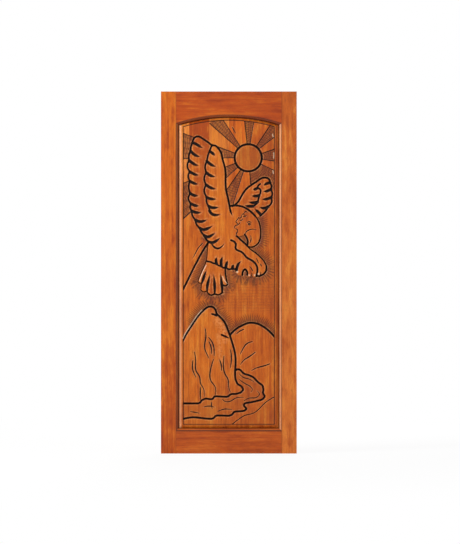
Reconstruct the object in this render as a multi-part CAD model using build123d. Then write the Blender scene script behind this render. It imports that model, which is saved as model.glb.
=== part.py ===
"""Stile-and-rail door leaf with one raised panel, glued up from boards and carved in relief.

Frame: +Z up, the carved front faces -Y, the origin is the middle of the bottom edge.
All sizes are in millimetres.
"""
import os
from math import hypot, sqrt

from build123d import *

# Leaf
door_width = 762.0
door_height = 2032.0
door_thickness = 44.5
arris = 1.2

# Frame members, measured to their sight lines, which are the feet of the moulded edges
stile_width = 99.0
bottom_rail_height = 142.0
top_rail_height = 145.0
arch_rise = 43.5

# Moulded edge and panel groove of every member
moulding_width = 14.0
moulding_depth = 13.5
quirk_depth = 1.6
moulding_bulge = 2.6
groove_width = 13.0
groove_depth = 12.0

# Loose tenons hidden in the four corner joints
tenon_length = 127.0
tenon_width = 36.0
tenon_thickness = 16.0
tenons_per_joint = 2
tenon_edge_margin = 19.0
glue_clearance = 0.1
mortise_end_gap = 1.5

# Raised panel
panel_thickness = 38.0
tongue_clearance = 0.15
expansion_gap = 2.0
field_step = 1.5
bevel_start = 1.0
bevel_side = 18.0
bevel_bottom = 16.0
bevel_top = 12.5

# Boards of the panel: two edge boards, and full ones that share the width between them
left_board_width = 69.9
right_board_width = 64.9
full_boards = 4

# Incised line that frames the carving, measured from the sight lines
border_side = 26.0
border_bottom = 22.0
border_top = 16.0
border_cut_width = 2.8
border_cut_depth = 1.6

# Depths of the carved levels under the panel's face
dark_ray_depth = 5.0
sky_depth = 1.6
far_wing_depth = 1.3
bird_depth = 0.3
tail_depth = 0.9
sun_depth = 0.5
land_depth = 0.7
stream_depth = 2.6
mouth_depth = 6.0
bed_overlap = 1.0

# Gouge cuts: width at the face, depth under it and length of one facet along it
outline_cut = (10.0, 7.0, 11.5)
barb_cut = (11.0, 5.8, 13.0)
feather_cut = (8.5, 5.4, 12.0)
detail_cut = (5.0, 3.2, 18.0)
fine_cut = (3.4, 2.2, 20.0)

# Share of a cut's length over which it opens from its start, and over which it closes to its end,
# and how wide a blunt start, and both ends of a fine cut, are beside the middle
opening_share = 1 / 3
closing_share = 1 / 2
blunt_start = 0.5
fine_end = 0.3

sun_radius = 70.0
sun_ring_width = 12.0
sun_ring_depth = 6.5
eye_radius = 5.0
pupil_radius = 2.5
eye_depth = 3.0

# The carving is drawn full size on this field, and mapped from it to the panel's own field
drawn_half_width = 256.0
drawn_bottom = 164.0
drawn_crown = 1871.0

# Worked out from the sizes above
half_thickness = door_thickness / 2
sight_x = door_width / 2 - stile_width
sight_bottom = bottom_rail_height
sight_crown = door_height - top_rail_height
arch_radius = (sight_x**2 + arch_rise**2) / (2 * arch_rise)
arch_centre_z = sight_crown - arch_radius
rail_reach = sight_x + max(moulding_width, groove_depth)
tongue_reach = groove_depth - expansion_gap
tongue_half = groove_width / 2 - tongue_clearance
panel_half = panel_thickness / 2
sun_centre = (109, 1660)
front = Plane.XZ.offset(panel_half)


def moulded_edge(sight, side):
    """Edge section of a member from face to face: quirk, ovolo, lip and groove, alike on both sides.

    side is the direction from the sight line into the wood, +1 or -1.
    """
    inner = sight + side * moulding_width
    foot = -half_thickness + moulding_depth
    quirk = -half_thickness + quirk_depth
    chord = hypot(moulding_width, foot - quirk)
    middle = ((inner + sight) / 2, (quirk + foot) / 2)
    bulge = (
        middle[0] - side * moulding_bulge * (foot - quirk) / chord,
        middle[1] - moulding_bulge * moulding_width / chord,
    )
    half = Curve() + [
        Line((inner, -half_thickness), (inner, quirk)),
        ThreePointArc((inner, quirk), bulge, (sight, foot)),
        Polyline(
            (sight, foot),
            (sight, -groove_width / 2),
            (sight + side * groove_depth, -groove_width / 2),
            (sight + side * groove_depth, 0),
        ),
    ]
    return half + mirror(half, Plane.XZ)


def member_section(outer, sight):
    """Section of a straight member between its outer edge and its moulded edge."""
    side = 1 if outer > sight else -1
    inner = sight + side * moulding_width
    eased = outer - side * arris
    outline = moulded_edge(sight, side) + Polyline(
        (inner, -half_thickness),
        (eased, -half_thickness),
        (outer, -half_thickness + arris),
        (outer, half_thickness - arris),
        (eased, half_thickness),
        (inner, half_thickness),
    )
    return make_face(outline)


def make_stile(side):
    """Full-height upright; side is -1 on the left and +1 on the right."""
    return extrude(member_section(side * door_width / 2, side * sight_x), amount=door_height)


def rail_plane():
    """Plane across the rails: its x is the height, its y the depth, its normal the door's width."""
    return Plane(origin=(-rail_reach, 0, 0), x_dir=(0, 0, 1), z_dir=(-1, 0, 0))


def make_bottom_rail(stiles):
    """Straight rail, coped over the stiles' moulding and stubbed into their grooves."""
    rail = extrude(rail_plane() * member_section(0, sight_bottom), amount=-2 * rail_reach)
    return rail - stiles


def make_top_rail(stiles):
    """Rail with its lower edge sawn to the arch; the moulded edge and groove turn about its centre."""
    spring = arch_centre_z + sqrt(arch_radius**2 - sight_x**2)
    blank = Box(
        2 * rail_reach,
        door_thickness,
        door_height - spring + moulding_width,
        align=(Align.CENTER, Align.CENTER, Align.MAX),
    )
    blank = chamfer(blank.edges().filter_by(Axis.X).group_by(Axis.Z)[-1], arris)
    beyond = door_thickness
    cutter_outline = moulded_edge(arch_radius, 1) + Polyline(
        (arch_radius + moulding_width, -half_thickness),
        (arch_radius + moulding_width, -beyond),
        (0, -beyond),
        (0, beyond),
        (arch_radius + moulding_width, beyond),
        (arch_radius + moulding_width, half_thickness),
    )
    arch = Pos(0, 0, arch_centre_z) * revolve(make_face(cutter_outline), Axis.Y)
    return Pos(0, 0, door_height) * blank - arch - stiles


def tenon_heights():
    """Middle heights of the tenons in each bottom joint and in each top joint."""
    inner_end = sight_x - tenon_length / 2
    arch_there = arch_centre_z + sqrt(arch_radius**2 - inner_end**2)
    rails = {
        "bottom": (0, bottom_rail_height - groove_depth),
        "top": (arch_there + groove_depth, door_height),
    }
    heights = {}
    for end, (low, high) in rails.items():
        first = low + tenon_edge_margin + tenon_width / 2
        last = high - tenon_edge_margin - tenon_width / 2
        pitch = (last - first) / (tenons_per_joint - 1)
        heights[end] = [first + pitch * step for step in range(tenons_per_joint)]
    return heights


def make_tenon(side, height):
    """Tenon across the joint between a rail and the stile on the given side."""
    return Pos(side * sight_x, 0, height) * Box(tenon_length, tenon_thickness, tenon_width)


def make_mortise(side, height):
    """Slot for a tenon, wider all round by the glue clearance and deeper by the gap at each end."""
    slot = Box(
        tenon_length + 2 * mortise_end_gap,
        tenon_thickness + 2 * glue_clearance,
        tenon_width + 2 * glue_clearance,
    )
    return Pos(side * sight_x, 0, height) * slot


def arched_face(side, bottom, top):
    """The opening's outline, moved inward from its sight lines by the three given distances."""
    half = sight_x - side
    low = sight_bottom + bottom
    radius = arch_radius - top
    shoulder = arch_centre_z + sqrt(radius**2 - half**2)
    return make_face(
        Curve()
        + [
            Polyline((-half, shoulder), (-half, low), (half, low), (half, shoulder)),
            ThreePointArc((half, shoulder), (0, arch_centre_z + radius), (-half, shoulder)),
        ]
    )


def make_panel_blank():
    """Uncarved panel: a tongue all round, and on both faces a bevel up to a stepped field."""
    tongue = extrude(
        Plane.XZ * arched_face(-tongue_reach, -tongue_reach, -tongue_reach),
        amount=tongue_half,
        both=True,
    )
    step_foot = panel_half - field_step
    foot = arched_face(bevel_start, bevel_start, bevel_start)
    field = arched_face(bevel_side, bevel_bottom, bevel_top)
    raised = loft([Plane.XZ.offset(tongue_half) * foot, Plane.XZ.offset(step_foot) * field], ruled=True)
    raised += extrude(Plane.XZ.offset(step_foot) * field, amount=field_step)
    return tongue + raised + mirror(raised, Plane.XZ)


def on_panel(point):
    """Place of a drawn point on the panel, as the drawing is stretched to the carved field."""
    across, up = point
    half = sight_x - border_side
    bottom = sight_bottom + border_bottom
    crown = sight_crown - border_top
    return (
        across * half / drawn_half_width,
        bottom + (up - drawn_bottom) * (crown - bottom) / (drawn_crown - drawn_bottom),
    )


def curve_through(points):
    """Straight line through two points, or a smooth curve through more."""
    return Line(*points) if len(points) == 2 else Spline(*points)


def region(*runs):
    """Face inside a drawn outline; each run is smooth, and the runs meet at corners."""
    return make_face(Curve() + [curve_through([on_panel(point) for point in run]) for run in runs])


def scallops(cuts, tips):
    """Runs of a feathered edge: from each cut's outer end over the feather's tip to the next cut."""
    return [[here[0], tip, after[0]] for here, tip, after in zip(cuts, tips, cuts[1:])]


def gouge(points, cut, start=1.0, end=1.0):
    """Solid of one gouge cut whose middle line runs smoothly through the drawn points.

    The cut has its full width along the middle, and that width times start and end at its ends.
    """
    width, depth, facet = cut
    middle = curve_through([on_panel(point) for point in points])
    steps = max(2, round(middle.length / facet))
    left, right = [], []
    for index in range(steps + 1):
        share = index / steps
        place = middle @ share
        along = middle % share
        opening = start + (1 - start) * share / opening_share
        closing = end + (1 - end) * (1 - share) / closing_share
        swell = min(1.0, opening, closing)
        aside = Vector(-along.Y, along.X) * (swell * width / 2)
        left.append(place + aside)
        right.append(place - aside)
    if start == 0:
        right.pop(0)
    if end == 0:
        right.pop()
    rim = [*left, *reversed(right), left[0]]
    return extrude(front * make_face(Polyline(*rim)), amount=-depth)


# The bird's near wing: outer feathers and coverts, each cut drawn from the wing's edge inward
wing_top = [(-94, 1729), (-119, 1749), (-146, 1767), (-173, 1780), (-192, 1773), (-203, 1745)]
outer_cuts = [
    [(-203, 1745), (-180, 1735), (-160, 1722), (-139, 1711)],
    [(-214, 1698), (-197, 1681), (-178, 1670), (-153, 1665)],
    [(-223, 1645), (-203, 1630), (-182, 1619), (-161, 1616)],
    [(-219, 1582), (-200, 1571), (-180, 1564), (-162, 1563)],
    [(-219, 1529), (-200, 1519), (-182, 1513), (-166, 1512)],
    [(-216, 1460), (-200, 1451), (-184, 1447), (-166, 1447)],
    [(-212, 1402), (-195, 1394), (-178, 1390), (-161, 1390)],
    [(-208, 1362), (-188, 1354), (-170, 1352), (-148, 1354)],
    [(-187, 1311), (-165, 1302), (-141, 1305), (-114, 1315)],
    [(-163, 1265), (-144, 1257), (-114, 1265), (-81, 1283)],
    [(-138, 1224), (-120, 1216), (-96, 1225), (-69, 1243)],
    [(-112, 1188), (-94, 1184), (-68, 1195), (-42, 1216)],
]
outer_tips = [
    (-212, 1722), (-224, 1672), (-233, 1614), (-228, 1556), (-225, 1494), (-227, 1431),
    (-217, 1382), (-204, 1335), (-181, 1286), (-154, 1243), (-128, 1204),
]
last_feather_cut = [(-98, 1180), (-84, 1161), (-62, 1151), (-38, 1163), (-22, 1182)]
covert_top = (-98, 1722)
covert_cuts = [
    [(-104, 1694), (-87, 1682), (-76, 1668)],
    [(-123, 1641), (-103, 1624), (-84, 1614), (-65, 1609)],
    [(-126, 1577), (-108, 1563), (-90, 1556), (-69, 1553)],
    [(-128, 1509), (-108, 1495), (-87, 1487), (-63, 1485)],
    [(-124, 1438), (-104, 1430), (-84, 1428), (-63, 1428)],
    [(-113, 1388), (-93, 1380), (-72, 1380), (-49, 1383)],
    [(-108, 1362), (-92, 1343), (-66, 1339), (-38, 1344)],
]
covert_tips = [(-118, 1668), (-133, 1606), (-138, 1542), (-138, 1474), (-125, 1413), (-110, 1375)]
leading_edge = [
    (4, 1388), (-5, 1435), (-15, 1478), (-18, 1525), (-18, 1572), (-26, 1622),
    (-36, 1656), (-44, 1690), (-58, 1712), (-76, 1728), (-94, 1729),
]
wing_root_cut = [(4, 1388), (10, 1360), (24, 1328)]

# Head, beak, body and feet
head_top = [
    (4, 1388), (40, 1392), (78, 1385), (104, 1372), (130, 1352), (150, 1331), (166, 1305),
    (176, 1270), (179, 1236), (175, 1203), (164, 1180), (148, 1166), (128, 1159), (104, 1163),
]
far_leg_top = [(104, 1163), (122, 1146), (148, 1128), (174, 1105), (197, 1080), (211, 1052)]
far_foot = [(211, 1052), (210, 1030), (199, 1011), (180, 999), (166, 996), (156, 1001)]
toes = [
    [(156, 1001), (142, 989), (128, 1004)],
    [(128, 1004), (116, 989), (104, 1003)],
    [(104, 1003), (104, 1020), (91, 1036), (78, 1021), (76, 1003)],
    [(76, 1003), (62, 999), (46, 1008), (43, 1024), (46, 1042)],
]
belly_scallops = [
    [(46, 1042), (34, 1035), (20, 1040)],
    [(20, 1040), (1, 1034), (-17, 1046)],
    [(-17, 1046), (-29, 1042), (-42, 1054)],
    [(-42, 1054), (-55, 1054), (-68, 1066)],
    [(-68, 1066), (-84, 1067), (-100, 1075)],
    [(-100, 1075), (-126, 1080)],
]
back_line = [(-126, 1080), (-120, 1130), (-118, 1165), (-112, 1188)]
mouth = [
    [(43, 1221), (104, 1166)],
    [(104, 1166), (107, 1192), (98, 1216), (90, 1229)],
    [(90, 1229), (66, 1221), (43, 1221)],
]
thigh_cut = [
    (13, 1197), (30, 1189), (40, 1173), (38, 1152), (47, 1142), (66, 1134), (85, 1119),
    (100, 1101), (122, 1088), (145, 1071), (159, 1047), (160, 1020), (155, 996),
]
belly_cuts = [
    [(-68, 1064), (-72, 1082), (-66, 1106)],
    [(-42, 1052), (-43, 1078), (-32, 1112)],
    [(-17, 1044), (-13, 1064), (-3, 1086)],
    [(20, 1038), (22, 1048), (28, 1062)],
    [(44, 1028), (48, 1050), (57, 1068), (76, 1083)],
]
foot_cuts = [[(104, 1003), (104, 1018), (91, 1034), (78, 1019), (76, 1003)]]
toe_cuts = [
    [(134, 1026), (126, 1040), (113, 1058)],
    [(166, 1070), (158, 1090), (148, 1105)],
    [(183, 1052), (179, 1062), (172, 1069)],
    [(128, 1000), (130, 1012), (128, 1020)],
    [(176, 1000), (180, 1014), (178, 1026)],
]
cere_line = [(90, 1231), (98, 1244), (112, 1254), (132, 1259), (155, 1256)]
beak_line = [(118, 1182), (125, 1202), (122, 1224)]
eye_centre = (115, 1288)
brow_line = [(103, 1296), (114, 1302), (127, 1296)]
ruffle = [
    [(90, 1334), (80, 1345), (72, 1336)], [(72, 1336), (66, 1322), (54, 1323)],
    [(56, 1326), (46, 1310), (38, 1300)], [(38, 1300), (48, 1292), (46, 1282)],
    [(46, 1282), (34, 1276), (32, 1264)], [(38, 1262), (48, 1256), (50, 1244)],
    [(50, 1244), (42, 1236), (44, 1228)],
]

# Tail: five feathers
tail_left = [(-126, 1080), (-135, 1055), (-148, 1028), (-161, 998), (-172, 966)]
tail_tips = [
    [(-172, 966), (-163, 956), (-152, 958)],
    [(-152, 958), (-156, 917)],
    [(-156, 917), (-140, 908), (-122, 914)],
    [(-122, 914), (-116, 899)],
    [(-116, 899), (-100, 889), (-79, 897)],
    [(-79, 897), (-58, 891), (-38, 903)],
    [(-38, 903), (-34, 948)],
    [(-34, 948), (-21, 941), (-7, 949)],
]
tail_right = [(-7, 949), (-14, 978), (-19, 1008), (-20, 1046)]
tail_root = [[(-20, 1046), (-40, 1100)], [(-40, 1100), (-100, 1100)], [(-100, 1100), (-126, 1080)]]
tail_cuts = [
    [(-152, 956), (-145, 975), (-137, 1000), (-124, 1031)],
    [(-122, 912), (-120, 945), (-113, 975), (-107, 1006)],
    [(-79, 895), (-79, 930), (-81, 965), (-85, 1008)],
    [(-37, 903), (-39, 945), (-43, 980), (-46, 1012)],
]

# Far wing, seen behind the head
far_edge = [
    (20, 1388), (42, 1402), (62, 1428), (80, 1460), (104, 1490), (134, 1512), (160, 1529),
    (184, 1545), (209, 1548), (227, 1538), (231, 1520),
]
far_cuts = [
    [(231, 1520), (212, 1515), (193, 1501)],
    [(236, 1483), (214, 1473), (189, 1471)],
    [(239, 1438), (210, 1428), (178, 1428)],
    [(222, 1386), (196, 1377), (166, 1386)],
]
far_tips = [(240, 1502), (244, 1460), (240, 1408)]
far_foot_of_wing = [[(222, 1386), (206, 1362), (176, 1334)], [(176, 1334), (140, 1310)], [(140, 1310), (20, 1388)]]
far_coverts = [
    [(176, 1513), (165, 1503), (161, 1490)],
    [(161, 1490), (175, 1484), (172, 1447)],
    [(172, 1447), (168, 1436), (164, 1411)],
    [(164, 1411), (158, 1404), (137, 1388)],
]
far_covert_cuts = [
    [(161, 1490), (148, 1484), (133, 1482)],
    [(170, 1448), (148, 1445), (124, 1447)],
    [(162, 1412), (136, 1408), (106, 1414)],
    [(137, 1388), (112, 1388), (86, 1393)],
    [(177, 1343), (162, 1359), (143, 1375)],
]

# Sun rays: the sunk ones, as corners round the sun's centre
dark_rays = [
    [(-110, 1851), (-60, 1900), (-47, 1900)],
    [(82, 1900), (149, 1900)],
    [(262, 1894), (300, 1808)],
    [(300, 1727), (300, 1633)],
    [(300, 1571), (262, 1484), (122, 1484)],
    [(16, 1366), (-42, 1440)],
    [(-18, 1540), (-207, 1331), (-300, 1226), (-300, 1503)],
    [(-300, 1651), (-300, 1817)],
]
ray_line = [(20, 1832), (38, 1798)]
far_ray_line = [(-148, 1180), (-170, 1155), (-192, 1115), (-218, 1074)]
ray_edge = [(-114, 1186), (-150, 1130), (-172, 1090), (-200, 1036), (-228, 978), (-262, 910)]

# Land: the mountain, the hill and the stream between them
mountain = [
    [(-270, 606), (-240, 667), (-205, 722), (-171, 772), (-138, 807), (-104, 825), (-82, 816), (-69, 784)],
    [(-69, 784), (-42, 759), (-17, 724), (-4, 690), (6, 664)],
]
hill = [(6, 664), (32, 691), (72, 717), (110, 732), (150, 731), (195, 711), (225, 688), (270, 638)]
land_foot = [[(270, 638), (270, 150)], [(270, 150), (-270, 150)], [(-270, 150), (-270, 606)]]
mountain_side = [(6, 664), (19, 622), (31, 580), (37, 542), (38, 505), (35, 462)]
stream_mouth = [(-270, 190), (-270, 281)]
flat_bank = [(-270, 281), (-172, 281)]
near_bank = [
    (-172, 281), (-160, 286), (-153, 298), (-130, 309), (-108, 305), (-91, 305), (-79, 322),
    (-40, 319), (-6, 318), (12, 334), (40, 334), (68, 342), (82, 360), (70, 378), (48, 390),
    (36, 420), (35, 462), (44, 472),
]
far_bank = [
    (44, 472), (62, 472), (84, 448), (115, 439), (140, 427), (164, 400), (190, 382), (195, 358),
    (191, 340), (203, 320), (188, 302), (133, 289), (90, 282), (83, 270), (101, 250), (85, 238),
    (30, 235), (19, 218), (0, 211), (-40, 213), (-72, 213), (-90, 194), (-130, 196),
    (-196, 204), (-236, 199), (-270, 190),
]
second_peak = [(-104, 785), (-80, 779), (-69, 774)]
side_notch = [(-40, 666), (-18, 656), (10, 643)]
stream_ripples = [
    [(-140, 261), (-110, 266), (-80, 260)],
    [(-216, 235), (-190, 231), (-165, 226)],
    [(-62, 236), (-30, 248), (18, 246)],
    [(-36, 305), (-20, 292), (12, 295), (40, 311), (84, 314)],
    [(-97, 290), (-97, 268), (-93, 250)],
    [(60, 446), (82, 427), (116, 417), (142, 401)],
    [(60, 416), (90, 393), (118, 378), (132, 358), (124, 344)],
    [(86, 297), (118, 311), (158, 316), (172, 332), (158, 352)],
]
hill_creases = [
    [(132, 628), (104, 618), (82, 592), (64, 558)],
    [(148, 568), (114, 543), (82, 521), (66, 500)],
    [(230, 503), (195, 491), (158, 481), (128, 466)],
    [(84, 697), (62, 687), (44, 672)],
]
bank_line = [(16, 163), (50, 188), (92, 214), (136, 226), (170, 250), (200, 281), (256, 318)]
mountain_cracks = [
    [(-193, 570), (-186, 515), (-182, 460), (-164, 430), (-158, 392), (-143, 366), (-138, 320)],
    [(-202, 522), (-202, 470), (-184, 428)],
    [(-132, 700), (-129, 650), (-136, 598), (-122, 556), (-111, 534)],
    [(-113, 652), (-92, 622), (-82, 580), (-82, 548)],
    [(-86, 528), (-102, 474), (-98, 404), (-78, 376), (-75, 330)],
    [(-51, 526), (-43, 500), (-41, 466)],
    [(-27, 546), (-30, 505), (-20, 444), (-4, 415), (0, 372), (9, 344)],
    [(10, 582), (15, 535), (8, 480)],
    [(-112, 628), (-100, 600), (-97, 560)],
    [(-159, 372), (-160, 330), (-158, 302)],
]


def level(face, depth):
    """Prism that brings a drawn face up from the bed of the carving to a depth under the field."""
    bed = dark_ray_depth + bed_overlap
    return extrude(front.offset(-bed) * face, amount=bed - depth)


def carve_levels(panel):
    """Sink the carved field to the floor of the dark rays, then build up sky, bird, sun and land."""
    centre_x, centre_z = on_panel(sun_centre)
    panel -= extrude(front * arched_face(border_side, border_bottom, border_top), amount=-dark_ray_depth)
    sky = arched_face(border_side - bed_overlap, border_bottom - bed_overlap, border_top - bed_overlap)
    for corners in dark_rays:
        rim = [sun_centre, *corners, sun_centre]
        sky -= make_face(Polyline(*[on_panel(point) for point in rim]))
    bird = region(
        wing_top,
        *scallops(outer_cuts, outer_tips),
        back_line,
        *belly_scallops,
        *toes,
        far_foot,
        far_leg_top,
        head_top,
        leading_edge,
    )
    far_wing = region(far_edge, *scallops(far_cuts, far_tips), *far_foot_of_wing)
    tail = region(tail_left, *tail_tips, tail_right, *tail_root)
    land = region(*mountain, hill, *land_foot)
    panel += level(sky, sky_depth)
    panel += level(far_wing, far_wing_depth)
    panel += level(tail, tail_depth)
    panel += level(bird, bird_depth)
    panel += level(Pos(centre_x, centre_z) * Circle(sun_radius + sun_ring_width / 2), sun_depth)
    panel += level(land, land_depth)
    stream = region(stream_mouth, flat_bank, near_bank, far_bank)
    panel -= extrude(front * stream, amount=-stream_depth)
    panel -= extrude(front * region(*mouth), amount=-mouth_depth)
    return panel


def carving_cuts():
    """Every gouge cut of the carving, as separate solids."""
    outlines = [
        wing_top, leading_edge, head_top, far_leg_top, thigh_cut, far_edge, tail_left, tail_right,
        ray_edge, *mountain, hill, mountain_side, flat_bank, near_bank, far_bank,
    ]
    feathers = [*outer_cuts, *covert_cuts, *far_cuts, *far_covert_cuts, *belly_cuts, *tail_cuts]
    edges = [
        *scallops(outer_cuts, outer_tips),
        *scallops([[covert_top], *covert_cuts[1:]], covert_tips),
        *scallops(far_cuts, far_tips),
        *far_coverts, *belly_scallops, *tail_tips, *foot_cuts, far_foot, back_line, *mouth[:2],
    ]
    creases = [*toe_cuts, *hill_creases, far_ray_line]
    fine_lines = [
        *ruffle, *stream_ripples, *mountain_cracks, cere_line, beak_line, brow_line, ray_line,
    ]
    cuts = [gouge(points, outline_cut) for points in outlines]
    cuts += [gouge(points, outline_cut, end=0.0) for points in (wing_root_cut, side_notch)]
    cuts += [gouge(second_peak, outline_cut, start=0.0)]
    cuts += [gouge(points, barb_cut, end=0.0) for points in feathers]
    cuts += [gouge(points, feather_cut) for points in edges]
    cuts += [gouge(last_feather_cut, feather_cut, start=blunt_start, end=0.0)]
    cuts += [gouge(points, detail_cut, end=0.0) for points in creases]
    cuts += [gouge(bank_line, detail_cut)]
    cuts += [gouge(points, fine_cut, start=fine_end, end=fine_end) for points in fine_lines]
    return cuts


def eye_cut():
    """Ring cut round the eye."""
    eye_x, eye_z = on_panel(eye_centre)
    ring = Circle(eye_radius) - Circle(pupil_radius)
    return extrude(front * Pos(eye_x, eye_z) * ring, amount=-eye_depth)


def border_cut():
    """Incised line round the carved field."""
    half = border_cut_width / 2
    outer = arched_face(border_side - half, border_bottom - half, border_top - half)
    inner = arched_face(border_side + half, border_bottom + half, border_top + half)
    return extrude(front * (outer - inner), amount=-border_cut_depth)


def sun_ring():
    """Groove round the sun's disc."""
    centre_x, centre_z = on_panel(sun_centre)
    ring = Circle(sun_radius + sun_ring_width) - Circle(sun_radius)
    return extrude(front * Pos(centre_x, centre_z) * ring, amount=-sun_ring_depth)


def board_edges():
    """Joints of the panel from left to right, with the panel's own two edges at the ends."""
    reach = sight_x + tongue_reach
    first, last = left_board_width - reach, reach - right_board_width
    joints = [first + (last - first) * index / full_boards for index in range(full_boards + 1)]
    return [-reach, *joints, reach]


def overlaps(box, low, high):
    """Whether a bounding box reaches into the board between two joints."""
    return box.min.X < high and box.max.X > low


def make_boards():
    """Boards of the panel from left to right, each carved with the cuts that cross it."""
    panel = carve_levels(make_panel_blank())
    cuts = [*carving_cuts(), eye_cut(), border_cut(), sun_ring()]
    boards = []
    edges = board_edges()
    for low, high in zip(edges, edges[1:]):
        slab = Pos(low, 0, 0) * Box(
            high - low, door_thickness, door_height, align=(Align.MIN, Align.CENTER, Align.MIN)
        )
        crossing = [cut for cut in cuts if overlaps(cut.bounding_box(), low, high)]
        boards.append((panel & slab) - crossing)
    return boards


def main():
    """Build every piece and write one STEP file for each."""
    os.makedirs("parts", exist_ok=True)
    heights = tenon_heights()
    stiles = {side: make_stile(side) for side in (-1, 1)}
    rails = {
        "bottom": make_bottom_rail(list(stiles.values())),
        "top": make_top_rail(list(stiles.values())),
    }
    pieces = {}
    for end, rail in rails.items():
        for side, hand in ((-1, "left"), (1, "right")):
            for number, height in enumerate(heights[end], 1):
                mortise = make_mortise(side, height)
                stiles[side] -= mortise
                rail -= mortise
                pieces[f"{end}_{hand}_tenon_{number}"] = make_tenon(side, height)
        pieces[f"{end}_rail"] = rail
    pieces["left_stile"] = stiles[-1]
    pieces["right_stile"] = stiles[1]
    for number, board in enumerate(make_boards(), 1):
        pieces[f"panel_board_{number}"] = board
    for name, shape in pieces.items():
        export_step(shape, f"parts/{name}.step")


main()
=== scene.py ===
"""Looks of a carved door leaf: finely carved panel boards, varnished wood, a plain studio and its camera.

Sizes are in millimetres in the leaf's own frame (+Z up, carved front towards -Y, origin in the middle of
the bottom edge) and become metres where a mesh is made.
"""

import logging
import math
from dataclasses import dataclass, field
from enum import Enum
from typing import Any, Union

import bpy
import numpy as np
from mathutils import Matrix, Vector


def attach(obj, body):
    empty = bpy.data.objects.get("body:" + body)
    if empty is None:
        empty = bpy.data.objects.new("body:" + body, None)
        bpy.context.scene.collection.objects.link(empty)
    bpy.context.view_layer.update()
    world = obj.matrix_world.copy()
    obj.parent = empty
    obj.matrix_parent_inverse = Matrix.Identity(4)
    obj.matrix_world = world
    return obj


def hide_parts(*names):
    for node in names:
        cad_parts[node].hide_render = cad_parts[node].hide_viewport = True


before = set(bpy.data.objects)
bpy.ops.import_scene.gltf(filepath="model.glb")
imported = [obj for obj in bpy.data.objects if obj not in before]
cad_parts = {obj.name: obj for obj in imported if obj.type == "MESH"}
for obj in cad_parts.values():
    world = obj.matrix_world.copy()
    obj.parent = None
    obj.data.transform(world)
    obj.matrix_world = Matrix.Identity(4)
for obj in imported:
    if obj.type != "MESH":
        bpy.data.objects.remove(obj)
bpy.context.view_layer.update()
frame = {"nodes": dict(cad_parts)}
log = logging.getLogger("carved_door")

Point = tuple[float, float]
Run = list[Point]
Colour = tuple[float, float, float]
Window = tuple[slice, slice]
Socket = Union[str, int]
Number = Union["Value", float]


# The bird's near wing: outer feathers and coverts, each cut drawn from the wing's edge inward
wing_top = [(-94, 1729), (-119, 1749), (-146, 1767), (-173, 1780), (-192, 1773), (-203, 1745)]
outer_cuts = [
    [(-203, 1745), (-180, 1735), (-160, 1722), (-139, 1711)],
    [(-214, 1698), (-197, 1681), (-178, 1670), (-153, 1665)],
    [(-223, 1645), (-203, 1630), (-182, 1619), (-161, 1616)],
    [(-219, 1582), (-200, 1571), (-180, 1564), (-162, 1563)],
    [(-219, 1529), (-200, 1519), (-182, 1513), (-166, 1512)],
    [(-216, 1460), (-200, 1451), (-184, 1447), (-166, 1447)],
    [(-212, 1402), (-195, 1394), (-178, 1390), (-161, 1390)],
    [(-208, 1362), (-188, 1354), (-170, 1352), (-148, 1354)],
    [(-187, 1311), (-165, 1302), (-141, 1305), (-114, 1315)],
    [(-163, 1265), (-144, 1257), (-114, 1265), (-81, 1283)],
    [(-138, 1224), (-120, 1216), (-96, 1225), (-69, 1243)],
    [(-112, 1188), (-94, 1184), (-68, 1195), (-42, 1216)],
]
outer_tips = [
    (-212, 1722), (-224, 1672), (-233, 1614), (-228, 1556), (-225, 1494), (-227, 1431),
    (-217, 1382), (-204, 1335), (-181, 1286), (-154, 1243), (-128, 1204),
]
last_feather_cut = [(-98, 1180), (-84, 1161), (-62, 1151), (-38, 1163), (-22, 1182)]
covert_top = (-98, 1722)
covert_cuts = [
    [(-104, 1694), (-87, 1682), (-76, 1668)],
    [(-123, 1641), (-103, 1624), (-84, 1614), (-65, 1609)],
    [(-126, 1577), (-108, 1563), (-90, 1556), (-69, 1553)],
    [(-128, 1509), (-108, 1495), (-87, 1487), (-63, 1485)],
    [(-124, 1438), (-104, 1430), (-84, 1428), (-63, 1428)],
    [(-113, 1388), (-93, 1380), (-72, 1380), (-49, 1383)],
    [(-108, 1362), (-92, 1343), (-66, 1339), (-38, 1344)],
]
covert_tips = [(-118, 1668), (-133, 1606), (-138, 1542), (-138, 1474), (-125, 1413), (-110, 1375)]
leading_edge = [
    (4, 1388), (-5, 1435), (-15, 1478), (-18, 1525), (-18, 1572), (-26, 1622),
    (-36, 1656), (-44, 1690), (-58, 1712), (-76, 1728), (-94, 1729),
]
wing_root_cut = [(4, 1388), (10, 1360), (24, 1328)]

# Head, beak, body and feet
head_top = [
    (4, 1388), (40, 1392), (78, 1385), (104, 1372), (130, 1352), (150, 1331), (166, 1305),
    (176, 1270), (179, 1236), (175, 1203), (164, 1180), (148, 1166), (128, 1159), (104, 1163),
]
far_leg_top = [(104, 1163), (122, 1146), (148, 1128), (174, 1105), (197, 1080), (211, 1052)]
far_foot = [(211, 1052), (210, 1030), (199, 1011), (180, 999), (166, 996), (156, 1001)]
toes = [
    [(156, 1001), (142, 989), (128, 1004)],
    [(128, 1004), (116, 989), (104, 1003)],
    [(104, 1003), (104, 1020), (91, 1036), (78, 1021), (76, 1003)],
    [(76, 1003), (62, 999), (46, 1008), (43, 1024), (46, 1042)],
]
belly_scallops = [
    [(46, 1042), (34, 1035), (20, 1040)],
    [(20, 1040), (1, 1034), (-17, 1046)],
    [(-17, 1046), (-29, 1042), (-42, 1054)],
    [(-42, 1054), (-55, 1054), (-68, 1066)],
    [(-68, 1066), (-84, 1067), (-100, 1075)],
    [(-100, 1075), (-126, 1080)],
]
back_line = [(-126, 1080), (-120, 1130), (-118, 1165), (-112, 1188)]
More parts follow.
